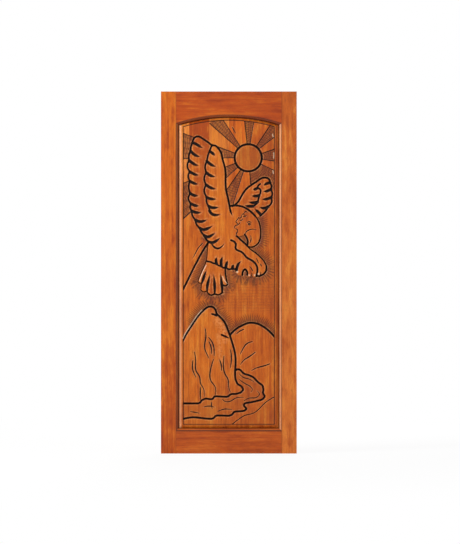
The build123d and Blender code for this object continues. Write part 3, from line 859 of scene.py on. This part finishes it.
        # Painted shade in each fold's hollow and at the land's rounded rims.
        rim_shade = (1 - np.clip(near / self.rounding_reach, 0.0, 1.0)) ** 2
        land = 0.3 * (1 - fold / self.fold_reach) ** 2 + 0.3 * rim_shade
        land = land + 0.16 * smooth_step(420, 180, self.plan.z)
        return 0.28 * self.sun + self.land * np.maximum(land, 0.22 * self.stream)

    def flank_highlight(self) -> np.ndarray:
        """Share of the painted highlight down the mountain's right flank.

        Returns:
            An array like the grid, from 0 to 1.
        """
        result = np.zeros(self.plan.x.shape)
        for points, reach, share in highlight_flanks:
            away, _ = self.relief.reach_of([points], reach)
            result = np.maximum(result, share * self.land * smooth_step(reach, 2.0, away))
        return result

    def bare_and_highlight(self) -> np.ndarray:
        """Share of pale wood: a worn disc on each talon's tip, painted glints along some crests, and faintly
        a painted highlight on the left bevel.

        Returns:
            An array like the grid, from 0 to 1.
        """
        result = np.zeros(self.plan.x.shape)
        for tip, radius in pale_spots:
            centre = self.leaf.drawn([tip])[0]
            away = np.hypot(self.plan.x - centre[0], self.plan.z - centre[1])
            result = np.maximum(result, 0.72 * smooth_step(radius, radius * 0.2, away))
        # Painted glints along crests: ray ends, the mountain's left slope and the tail's outer feathers.
        for points, shift in glint_crests:
            away, _ = self.relief.reach_of([points], self.glint_reach, shift)
            result = np.maximum(result, 0.75 * smooth_step(3.6, 1.0, away))
        # Painted highlight along the left bevel, the side that faces the key lamp.
        bevel = self.leaf.sight - self.leaf.bevel_side / 2 + self.plan.x
        return np.maximum(result, 0.27 * smooth_step(9.5, 3.5, np.abs(bevel)))


class Edge(Enum):
    """Side of the opening that a member's moulded edge follows."""

    NONE = "none"
    UPRIGHT = "upright"
    FOOT = "foot"
    ARCH = "arch"


@dataclass(frozen=True)
class Wood:
    """One board's or member's stained and varnished wood, its colours as they display.

    body, pale and dark are its colours, and crown, where it is given, the colour that body turns to
    towards the top, over the heights of crown_span in metres, except for the share held back on the
    figures; figure and mottle are the strengths of its broad bands and of its blotches; seed moves the
    grain so that no two pieces share it; edge says from which line of the opening its moulded edge is
    measured, and the last field how much painted shade darkens that moulding, or below 0 how much a
    painted highlight pales it.
    """

    name: str
    body: Colour
    pale: Colour
    dark: Colour
    seed: float
    crown: Union[Colour, None] = None
    crown_span: tuple[float, float] = (1.35, 1.7)
    held: float = 0.75
    figure: float = 0.12
    mottle: float = 0.8
    across: bool = False
    carved: bool = False
    edge: Edge = Edge.NONE
    face: float = 0.0


class Value:
    """A node's output used as a number, so that shader maths reads as an expression."""

    def __init__(self, book: "NodeBook", socket: bpy.types.NodeSocket) -> None:
        """Wrap a socket of a node tree."""
        self.book, self.socket = book, socket

    def math(self, operation: str, *others: Number, flip: bool = False) -> "Value":
        """Result of a Math node on this value and others; flip puts this value last."""
        terms = [*others, self] if flip else [self, *others]
        return self.book.add("ShaderNodeMath", {"operation": operation}, dict(enumerate(terms)))

    def __add__(self, other: Number) -> "Value":
        """Sum."""
        return self.math("ADD", other)

    def __sub__(self, other: Number) -> "Value":
        """Difference."""
        return self.math("SUBTRACT", other)

    def __rsub__(self, other: Number) -> "Value":
        """A number less this value."""
        return self.math("SUBTRACT", other, flip=True)

    def __mul__(self, other: Number) -> "Value":
        """Product."""
        return self.math("MULTIPLY", other)

    __radd__, __rmul__ = __add__, __mul__

    def size(self) -> "Value":
        """The value without its sign."""
        return self.math("ABSOLUTE")

    def cosine(self) -> "Value":
        """Cosine of the value in radians."""
        return self.math("COSINE")

    def clamp(self) -> "Value":
        """The value kept between 0 and 1."""
        return self.book.add("ShaderNodeClamp", {}, {"Value": self})

    def rise(self, low: float, high: float) -> "Value":
        """Smooth rise from 0 at low to 1 at high."""
        smooth = {"interpolation_type": "SMOOTHSTEP"}
        return self.book.add("ShaderNodeMapRange", smooth, {"Value": self, 1: low, 2: high})


class NodeBook:
    """A material's or world's node tree, written one node at a time."""

    def __init__(self, owner: Union[bpy.types.Material, bpy.types.World]) -> None:
        """Clear the owner's tree.

        Args:
            owner: The material or world that the tree is for.
        """
        owner.use_nodes = True
        self.tree = owner.node_tree
        self.tree.nodes.clear()

    def add(
        self, kind: str, settings: dict[str, Any], inputs: dict[Socket, Any], output: Socket = 0
    ) -> Value:
        """Add a node.

        Args:
            kind: The node's type.
            settings: Properties that are set first.
            inputs: Values or links of its sockets, by name or place.
            output: Name or place of the output that is returned.

        Returns:
            The wanted output.
        """
        node = self.tree.nodes.new(kind)
        for name, setting in settings.items():
            setattr(node, name, setting)
        for place, given in inputs.items():
            if isinstance(given, Value):
                self.tree.links.new(given.socket, node.inputs[place])
            else:
                node.inputs[place].default_value = given
        return Value(self, node.outputs[output])

    def glaze(self, colour: Any, *coats: tuple[Number, Any]) -> Value:
        """Lay coats over a colour in order.

        Args:
            colour: The colour below.
            coats: For each coat, its share and its colour.

        Returns:
            The colour with all its coats.
        """
        for share, tint in coats:
            below, above = ((*c, 1.0) if isinstance(c, tuple) else c for c in (colour, tint))
            colour = self.add("ShaderNodeMix", {"data_type": "RGBA"}, {0: share, 6: below, 7: above}, 2)
        return colour

    def noise(self, place: Value, scale: float, detail: float = 3.0, rough: float = 0.55) -> Value:
        """Noise value at a place, from 0 to 1 round 0.5."""
        given = {"Vector": place, "Scale": scale, "Detail": detail, "Roughness": rough}
        return self.add("ShaderNodeTexNoise", {}, given, "Fac")

    def squeezed(self, place: Value, share: float) -> Value:
        """A place squeezed along the grain, so that a pattern on it is drawn out by 1 / share."""
        return self.add("ShaderNodeMapping", {}, {"Vector": place, "Scale": (1.0, 1.0, share)})

    def axis(self, vector: Value, name: str) -> Value:
        """One coordinate of a vector."""
        return self.add("ShaderNodeSeparateXYZ", {}, {0: vector}, name)

    def mark(self, name: str) -> Value:
        """The piece's own attribute of that name."""
        return self.add("ShaderNodeAttribute", {"attribute_name": name}, {}, "Fac")

    def close(self, surface: Value, kind: str = "ShaderNodeOutputMaterial") -> None:
        """Join a surface to the tree's output."""
        self.tree.links.new(surface.socket, self.tree.nodes.new(kind).inputs["Surface"])


@dataclass(frozen=True)
class Varnisher:
    """Turns a wood's facts into its material. Lengths are in metres, turns in radians."""

    leaf: Leaf
    gloss: float = 0.3
    coat: float = 0.14
    coat_roughness: float = 0.14
    specular: float = 0.22
    relief_strength: float = 0.35
    relief_height: float = 0.0005
    stroke_wave: float = 2 * math.pi / 0.0088
    hatch_wave: float = 2 * math.pi / 0.0125
    comb_wave: float = 2 * math.pi / 0.0085
    radial_wave: float = 375.0
    # Besides the stain, burn and wear they stand for, the soot and earth colours also lay painted shade, and
    # the bare and rubbed colours lay painted highlights.
    ink: Colour = linear((26, 13, 9))
    soot_and_shade: Colour = linear((66, 30, 14))
    bare_and_highlight: Colour = linear((240, 208, 174))
    rubbed_and_highlight: Colour = linear((232, 158, 92))
    earth_and_shade: Colour = linear((104, 52, 24))

    def material(self, wood: Wood) -> bpy.types.Material:
        """Varnished wood: fibres, pores and broad bands along the grain, under a clear coat.

        Args:
            wood: The piece's wood.

        Returns:
            The material.
        """
        made = bpy.data.materials.new(wood.name)
        book = NodeBook(made)
        place = book.add("ShaderNodeTexCoord", {}, {}, "Object")
        turned = (0.0, math.pi / 2 if wood.across else 0.0, 0.0)
        offset = (wood.seed * 0.37, wood.seed * 0.73, wood.seed * 1.31)
        along = book.add("ShaderNodeMapping", {}, {"Vector": place, "Location": offset, "Rotation": turned})

        def grain(share: float, scale: float, detail: float = 3.0, rough: float = 0.55) -> Value:
            """Noise drawn out along the grain by 1 / share."""
            return book.noise(book.squeezed(along, share), scale, detail, rough)

        bands = book.add(
            "ShaderNodeTexWave",
            {"wave_type": "BANDS", "bands_direction": "X"},
            {"Vector": book.squeezed(along, 0.1), "Scale": 9.0, "Distortion": 6.0, "Detail": 2.0,
             "Detail Scale": 1.2, "Phase Offset": grain(0.22, 5.0, 2.0) * 9.0},
            "Fac",
        )
        fibres, streaks = grain(0.03, 300.0, 4.0, 0.6), grain(0.035, 90.0, 4.0, 0.6)
        cloud, mottle = grain(0.45, 8.0, 4.0), grain(0.3, 34.0, 3.0, 0.6)
        pores = grain(0.05, 800.0, 2.0).rise(0.61, 0.68)
        lines = grain(0.012, 1400.0, 2.0).rise(0.47, 0.62)
        body, pale, dark = linear(wood.body), linear(wood.pale), linear(wood.dark)
        if wood.crown:
            height = book.axis(place, "Z") + (streaks - 0.5) * 0.25
            free = 1.0 - book.mark("form") * wood.held
            body = book.glaze(body, (height.rise(*wood.crown_span) * free, linear(wood.crown)))
        level = bands * wood.figure + streaks * 0.7 + cloud + mottle * wood.mottle
        level = level - (0.85 + wood.mottle * 0.5 + wood.figure * 0.5)
        colour = book.glaze(
            body, ((level * -1.0).rise(-0.02, 0.36), dark), (level.rise(-0.02, 0.32), pale),
            (fibres.rise(0.42, 0.7) * 0.45, dark), (lines * 0.26, dark), (pores * 0.6, self.earth_and_shade),
        )
        relief = fibres * 0.5 + streaks * 0.3 - pores * 0.5 - lines * 0.2
        if wood.edge is Edge.UPRIGHT:
            colour = self.end_grain(book, place, colour)
        # Painted shade and highlights on the moulded edges.
        if wood.edge is not Edge.NONE:
            colour = self.paint_moulding_shading(book, place, colour, wood)
        rough, coat = self.gloss + fibres * 0.16, self.coat
        if wood.carved:
            colour, relief = self.carve(book, place, colour, relief)
            dull = book.mark("ink").rise(0.2, 0.8)
            rough, coat = rough + dull * 0.32, self.coat - dull * self.coat
        bump = book.add(
            "ShaderNodeBump", {},
            {"Strength": self.relief_strength, "Distance": self.relief_height, "Height": relief},
        )
        book.close(book.add(
            "ShaderNodeBsdfPrincipled", {},
            {"Base Color": colour, "Roughness": rough, "Normal": bump, "Specular IOR Level": self.specular,
             "Coat Weight": coat, "Coat Roughness": self.coat_roughness},
        ))
        return made

    def end_grain(self, book: NodeBook, place: Value, colour: Value) -> Value:
        """Darken an upright's sawn ends, where the fibres drink more stain, and draw growth rings there.

        The ends are where the surface faces straight up or down. The rings are bands round a centre
        450 mm beyond the board's side.

        Args:
            book: The material's nodes.
            place: Object coordinates.
            colour: The plain wood's colour.

        Returns:
            The colour with dark, ringed ends.
        """
        facing = book.add("ShaderNodeNewGeometry", {}, {}, "Normal")
        ends = book.axis(facing, "Z").size().rise(0.85, 0.95)
        moved = {"Vector": place, "Location": (0.45, 0.06, 0.0), "Scale": (1, 1, 0)}
        rings = book.add(
            "ShaderNodeTexWave",
            {"wave_type": "RINGS", "rings_direction": "Z"},
            {"Vector": book.add("ShaderNodeMapping", {}, moved), "Scale": 60.0, "Distortion": 1.5,
             "Detail": 2.0},
            "Fac",
        )
        return book.glaze(colour, (ends * (0.45 + rings * 0.35), self.earth_and_shade))

    def paint_moulding_shading(self, book: NodeBook, place: Value, colour: Value, wood: Wood) -> Value:
        """Paint shade on a moulded edge's face, or a highlight where it faces the lamp, and paint lines of
        shade in its quirk and at its foot.

        The distance outward from the opening's line is |x| less the half width for an upright, the
        bottom rail's height less z for the foot, and the distance from the arch's centre less its radius
        for the arch. Two soft lines of painted shade lie at the moulding's width and at its foot.

        Args:
            book: The material's nodes.
            place: Object coordinates.
            colour: The plain wood's colour.
            wood: The member's wood, which names the edge and its face.

        Returns:
            The colour with its face's painted shade or highlight and two lines of painted shade.
        """
        leaf = self.leaf
        if wood.edge is Edge.ARCH:
            centre = (0.0, 0.0, (leaf.crown - leaf.radius) / 1000)
            flat = book.add("ShaderNodeVectorMath", {"operation": "MULTIPLY"}, {0: place, 1: (1.0, 0.0, 1.0)})
            reach = book.add("ShaderNodeVectorMath", {"operation": "DISTANCE"}, {0: flat, 1: centre}, "Value")
            away = reach - leaf.radius / 1000
        elif wood.edge is Edge.FOOT:
            away = leaf.bottom_rail / 1000 - book.axis(place, "Z")
        else:
            away = book.axis(place, "X").size() - leaf.sight / 1000
        # A positive share darkens the moulding's face with painted shade, and a negative one pales it with a
        # painted highlight; the quirk and the foot get lines of painted shade.
        width, strength = (0.0065, 0.85) if wood.edge is Edge.FOOT else (0.0042, 0.55)
        quirk = (away - leaf.moulding / 1000).size().rise(width, 0.0008)
        face = away.rise(0.0145, 0.0115) * abs(wood.face)
        return book.glaze(
            colour, (face, self.soot_and_shade if wood.face > 0 else self.bare_and_highlight),
            ((quirk * strength + away.rise(0.005, 0.0) * 0.7).clamp(), self.soot_and_shade),
        )

    def carve(self, book: NodeBook, place: Value, colour: Value, relief: Value) -> tuple[Value, Value]:
        """Add the carver's marks to a board: scooped ground, tooled rays, inked cuts and bare tips, with
        painted shade in the folds' hollows and along the panel's edge, and painted highlights on the cuts'
        lips, some crests, the mountain's flank and the left bevel.

        Args:
            book: The material's nodes.
            place: Object coordinates.
            colour: The plain wood's colour.
            relief: The plain wood's fine relief.

        Returns:
            The colour and the fine relief with the marks.
        """
        haze, ink, ray, comb = (book.mark(name) for name in ("haze", "ink", "ray", "comb"))
        around = book.mark("around")
        blur, rough = book.noise(place, 90.0, 2.0), book.noise(place, 30.0, 2.0)
        strokes = (book.mark("run") * self.stroke_wave + blur * 5.0).cosine()
        radial = (around * self.radial_wave + blur * 4.0).cosine()
        hatch = (book.mark("from") * self.hatch_wave + around * 60.0 + rough * 16.0).cosine()
        level = (book.axis(place, "Z") * self.comb_wave + blur * 5.0).cosine()
        colour = book.glaze(
            # Stain on the sun and stream, and painted shade of the folds and rims.
            colour, (book.mark("tone_and_shade") * (0.6 + blur * 0.8), self.earth_and_shade),
            (haze.rise(0.1, 0.95) * 0.75, self.earth_and_shade),
            (strokes.rise(0.0, 0.8) * haze.rise(0.0, 0.4) * 0.62, self.soot_and_shade), (ray * 0.52, self.earth_and_shade),
            (radial.rise(-0.2, 0.8) * ray * 0.42, self.soot_and_shade),
            (hatch.rise(-0.1, 0.8) * ray * 0.55, self.soot_and_shade), (level.rise(0.1, 1.0) * comb * 0.5, self.earth_and_shade),
            (book.mark("mouth") * 0.6, self.soot_and_shade),
            # Painted highlights on the cuts' rubbed lips and on the mountain's right flank.
            (book.mark("lip_and_highlight") * blur.rise(0.35, 0.6) * 0.6, self.rubbed_and_highlight),
            # The ink mark also holds the painted shade where the panel meets the frame.
            ((ink + (blur - 0.5) * 0.25).rise(0.12, 0.85) * ink.rise(0.0, 0.3), self.ink),
            # Pale wood: worn talon tips, painted glints and the left bevel's painted highlight.
            ((book.mark("bare_and_highlight") * (0.45 + blur * 0.9)).clamp(), self.bare_and_highlight),
        )
        return colour, relief + strokes * haze * 1.2 + (radial + hatch) * ray * 0.8 + level * comb * 1.2


@dataclass
class Panel:
    """The raised panel's six boards, with their fine carving."""

    leaf: Leaf
    woods: list[Wood]
    edge_boards: tuple[float, float] = (69.9, 64.9)
    back_pitch: float = 14.0
    sharp_angle: float = 48.0

    def joints(self) -> list[float]:
        """Places of the boards' edges across the door.

        Returns:
            The places from left to right, one more than there are boards.
        """
        reach = self.leaf.sight + self.leaf.tongue_reach
        first, last = self.edge_boards[0] - reach, reach - self.edge_boards[1]
        return [-reach, *np.linspace(first, last, len(self.woods) - 1).tolist(), reach]

    def rise(self, x: np.ndarray, z: np.ndarray) -> np.ndarray:
        """Uncarved height over the panel's middle plane, alike on both faces.

        The tongue is level, each bevel rises evenly from its start to the foot of the step, the smallest
        rise of the three wins so that the bevels meet in mitres, and the field stands a step higher.

        Args:
            x: Places across the door.
            z: Places up the door.

        Returns:
            Heights in millimetres.
        """
        leaf = self.leaf
        shares = (
            (leaf.sight - np.abs(x), leaf.bevel_side),
            (z - leaf.bottom_rail, leaf.bevel_bottom),
            (leaf.radius - np.hypot(x, z - (leaf.crown - leaf.radius)), leaf.bevel_top),
        )
        start, tongue, foot = leaf.bevel_start, leaf.tongue / 2, leaf.panel / 2 - leaf.field_step
        ramp = np.minimum.reduce([(inward - start) / (wide - start) for inward, wide in shares])
        step = np.minimum.reduce([(inward - wide) / leaf.step_ease for inward, wide in shares])
        return tongue + (foot - tongue) * np.clip(ramp, 0, 1) + leaf.field_step * np.clip(step, 0, 1)

    def build(self) -> None:
        """Carve the plan once and cut it into boards."""
        joints = self.joints()
        plan = Plan(self.leaf, joints)
        carving, varnisher = Carving(self.leaf, plan), Varnisher(self.leaf)
        for number, (low, high, wood) in enumerate(zip(joints, joints[1:], self.woods), 1):
            cols = slice(*np.searchsorted(plan.columns, [low - 0.01, high + 0.01]))
            board = self.board(f"carved_board_{number}", plan, carving, cols)
            board.data.materials.append(varnisher.material(wood))
            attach(board, "root")
            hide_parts(f"panel_board_{number}")
            log.info("%s: %d faces", board.name, len(board.data.polygons))

    def board(self, name: str, plan: Plan, carving: Carving, cols: slice) -> bpy.types.Object:
        """One board as a closed mesh: carved front grid, plain back grid with fewer columns, and edges.

        Args:
            name: The piece's name.
            plan: The grid over the panel.
            carving: The carving on it.
            cols: The board's columns.

        Returns:
            The board's object.
        """
        x, z = plan.x[:, cols], plan.z[:, cols]
        few = self.back_columns(plan.columns[cols])
        back_x, back_z = x[:, few], z[:, few]
        points = np.concatenate([
            np.stack([x, carving.depth[:, cols] - self.rise(x, z), z], axis=-1).reshape(-1, 3),
            np.stack([back_x, self.rise(back_x, back_z), back_z], axis=-1).reshape(-1, 3),
        ])
        fore = np.arange(x.size).reshape(x.shape)
        rear = x.size + np.arange(back_x.size).reshape(back_x.shape)
        left = np.stack([rear[:, 0], fore[:, 0]], axis=1)
        right = np.stack([fore[:, -1], rear[:, -1]], axis=1)
        quads = np.concatenate([self.quads(grid) for grid in (fore, rear[:, ::-1], left, right)])
        caps = [np.concatenate([rear[0], fore[0, ::-1]]), np.concatenate([fore[-1], rear[-1, ::-1]])]
        mesh = bpy.data.meshes.new(name)
        mesh.from_pydata((points / 1000).tolist(), [], [*quads.tolist(), *(cap.tolist() for cap in caps)])
        mesh.shade_smooth()
        mesh.set_sharp_from_angle(angle=math.radians(self.sharp_angle))
        for stain, values in carving.stains_and_shading.items():
            kept = np.concatenate([values[:, cols].ravel(), np.zeros(rear.size)])
            mesh.attributes.new(stain, "FLOAT", "POINT").data.foreach_set("value", kept.astype(np.float32))
        mesh.validate()
        return placed(name, mesh)

    def back_columns(self, columns: np.ndarray) -> list[int]:
        """Which of a board's columns the plain back keeps: its bevels' lines, and some between them.

        Args:
            columns: Places of the board's columns.

        Returns:
            Their numbers, in order.
        """
        count = int((columns[-1] - columns[0]) / self.back_pitch) + 1
        even = np.linspace(columns[0], columns[-1], count)
        kept = {0, len(columns) - 1, *np.abs(columns[:, None] - even[None, :]).argmin(axis=0).tolist()}
        for mark in self.leaf.bevel_lines:
            kept |= set(np.flatnonzero(np.abs(columns - mark) < 1e-6).tolist())
        return sorted(kept)

    def quads(self, grid: np.ndarray) -> np.ndarray:
        """Quads of a grid of vertex numbers, facing the side from which its columns run rightwards."""
        return np.stack([grid[:-1, :-1], grid[:-1, 1:], grid[1:, 1:], grid[1:, :-1]], axis=-1).reshape(-1, 4)


@dataclass
class Frame:
    """Stiles, rails and the loose tenons hidden in their joints."""

    leaf: Leaf
    members: dict[str, Wood]
    tenon_wood: Wood

    def dress(self, nodes: dict[str, bpy.types.Object]) -> None:
        """Make its wood each member's only material, and plain wood each tenon's.

        Args:
            nodes: The carried-over pieces by name.
        """
        varnisher = Varnisher(self.leaf)
        plain = varnisher.material(self.tenon_wood)
        for name, piece in nodes.items():
            if name in self.members or "tenon" in name:
                wood = self.members.get(name)
                piece.data.materials.clear()
                piece.data.materials.append(varnisher.material(wood) if wood else plain)
                log.info("%s: dressed", name)


@dataclass
class Studio:
    """Floor, lamps, white surround and the camera square on to the door."""

    lens: float = 200.0
    sensor: float = 36.0
    view_height: float = 3.057
    aim: tuple[float, float] = (0.0065, 1.0189)
    floor_reach: float = 12.0
    floor_grey: float = 0.92
    surround: float = 0.36
    white: tuple[float, float, float, float] = (1.0, 1.0, 1.0, 1.0)

    def build(self) -> None:
        """Set the whole stage."""
        self.floor()
        self.world()
        self.lamp("key", (-4.0, -2.8, 3.4), 1.1, 2.0, 236.0)
        self.lamp("fill", (3.4, -4.2, 1.6), 1.0, 3.0, 36.0)
        self.lamp("back", (0.5, 4.0, 2.6), 1.0, 2.5, 120.0)
        self.camera()

    def floor(self) -> None:
        """Pale floor, near white to the camera, with the door's shadow; further off it is plain white."""
        mesh = bpy.data.meshes.new("floor")
        reach = self.floor_reach
        corners = [(reach * across, reach * deep, 0) for across, deep in ((-1, -1), (1, -1), (1, 1), (-1, 1))]
        mesh.from_pydata(corners, [], [(0, 1, 2, 3)])
        material = bpy.data.materials.new("floor_paint")
        book = NodeBook(material)
        seen = book.add("ShaderNodeLightPath", {}, {}, "Is Camera Ray")
        paint = book.add("ShaderNodeBsdfDiffuse", {}, {"Color": (*[self.floor_grey] * 3, 1.0)})
        glow = book.add("ShaderNodeEmission", {}, {"Color": self.white, "Strength": 1.0})
        place = book.add("ShaderNodeTexCoord", {}, {}, "Object")
        off = book.add("ShaderNodeVectorMath", {"operation": "LENGTH"}, {0: place}, "Value")
        share = seen * (0.9 + off.rise(0.8, 4.0) * 0.1)
        book.close(book.add("ShaderNodeMixShader", {}, {0: share, 1: paint, 2: glow}))
        mesh.materials.append(material)
        made = placed("floor", mesh)

    def world(self) -> None:
        """Even grey light, and white where the camera, gloss or glass looks past the object."""
        world = bpy.data.worlds.new("surround")
        bpy.context.scene.world = world
        book = NodeBook(world)
        camera, gloss, glass = (
            book.add("ShaderNodeLightPath", {}, {}, f"Is {kind} Ray")
            for kind in ("Camera", "Glossy", "Transmission")
        )
        even, plain = (
            book.add("ShaderNodeBackground", {}, {"Color": self.white, "Strength": strength})
            for strength in (self.surround, 1.0)
        )
        both = book.add("ShaderNodeMixShader", {}, {0: (camera + gloss + glass).clamp(), 1: even, 2: plain})
        book.close(both, "ShaderNodeOutputWorld")

    def lamp(
        self, name: str, place: tuple[float, float, float], height: float, size: float, power: float
    ) -> None:
        """Square soft lamp.

        Args:
            name: The lamp's name.
            place: Where it stands, in metres.
            height: Height on the door's middle line that it is aimed at.
            size: Length of its side.
            power: Its power in watts.
        """
        data = bpy.data.lights.new(name, "AREA")
        data.size, data.energy = size, power
        made = placed(name, data)
        made.location = place
        aim = Vector((0.0, 0.0, height)) - Vector(place)
        made.rotation_euler = aim.to_track_quat("-Z", "Y").to_euler()

    def camera(self) -> None:
        """Long lens, far off and square on, so that the door shows as flat as in an elevation."""
        data = bpy.data.cameras.new("camera")
        data.lens, data.sensor_width = self.lens, self.sensor
        distance = self.view_height / self.sensor * self.lens
        data.clip_end = distance * 3
        made = placed("camera", data)
        made.location = (self.aim[0], -distance, self.aim[1])
        made.rotation_euler = (math.pi / 2, 0.0, 0.0)
        bpy.context.scene.camera = made


def main() -> None:
    """Build the door and its stage in order."""
    logging.basicConfig(level=logging.INFO, format="%(name)s %(message)s")
    leaf = Leaf()
    tones = (
        ("tan_board", (206, 106, 22), (232, 138, 56), 1.35, 0.75),
        ("red_board", (204, 103, 17), (168, 68, 8), 1.12, 0.3),
        ("yellow_board", (206, 105, 20), (218, 124, 46), 1.35, 0.75),
        ("orange_board", (200, 98, 16), (210, 100, 18), 1.35, 0.75),
        ("brown_board", (196, 94, 14), (190, 88, 16), 1.35, 0.75),
        ("edge_board", (188, 90, 14), (176, 80, 14), 1.35, 0.75),
    )
    boards = [
        Wood(
            name, body, (220, 128, 36), (150, 60, 8), float(seed), crown=crown,
            crown_span=(low, low + 0.35), held=held, carved=True,
        )
        for seed, (name, body, crown, low, held) in enumerate(tones, 1)
    ]
    members = {
        # Each member's last setting is its moulding's painted shade; below 0 it is a painted highlight.
        "left_stile": Wood(
            "left_stile_wood", (182, 80, 8), (216, 118, 26), (150, 54, 6), 7.0, crown=(202, 98, 14),
            crown_span=(0.1, 1.5), figure=0.16, mottle=1.0, edge=Edge.UPRIGHT, face=0.5,
        ),
        "right_stile": Wood(
            "right_stile_wood", (210, 114, 40), (222, 132, 48), (168, 74, 14), 8.0, crown=(194, 94, 24),
            crown_span=(0.5, 2.0), mottle=1.1, edge=Edge.UPRIGHT, face=-0.22,
        ),
        "top_rail": Wood(
            "top_rail_wood", (182, 74, 10), (202, 98, 20), (148, 52, 6), 9.0, across=True,
            edge=Edge.ARCH, face=0.62,
        ),
        "bottom_rail": Wood(
            "bottom_rail_wood", (188, 84, 16), (208, 108, 30), (150, 58, 8), 10.0, across=True,
            edge=Edge.FOOT, face=0.15,
        ),
    }
    tenon = Wood("tenon_wood", (198, 160, 110), (214, 180, 132), (170, 128, 82), 11.0, across=True)
    bpy.context.scene.view_settings.view_transform = "Standard"
    Frame(leaf, members, tenon).dress(frame["nodes"])
    Panel(leaf, boards).build()
    Studio().build()


if __name__ == "__main__":
    main()
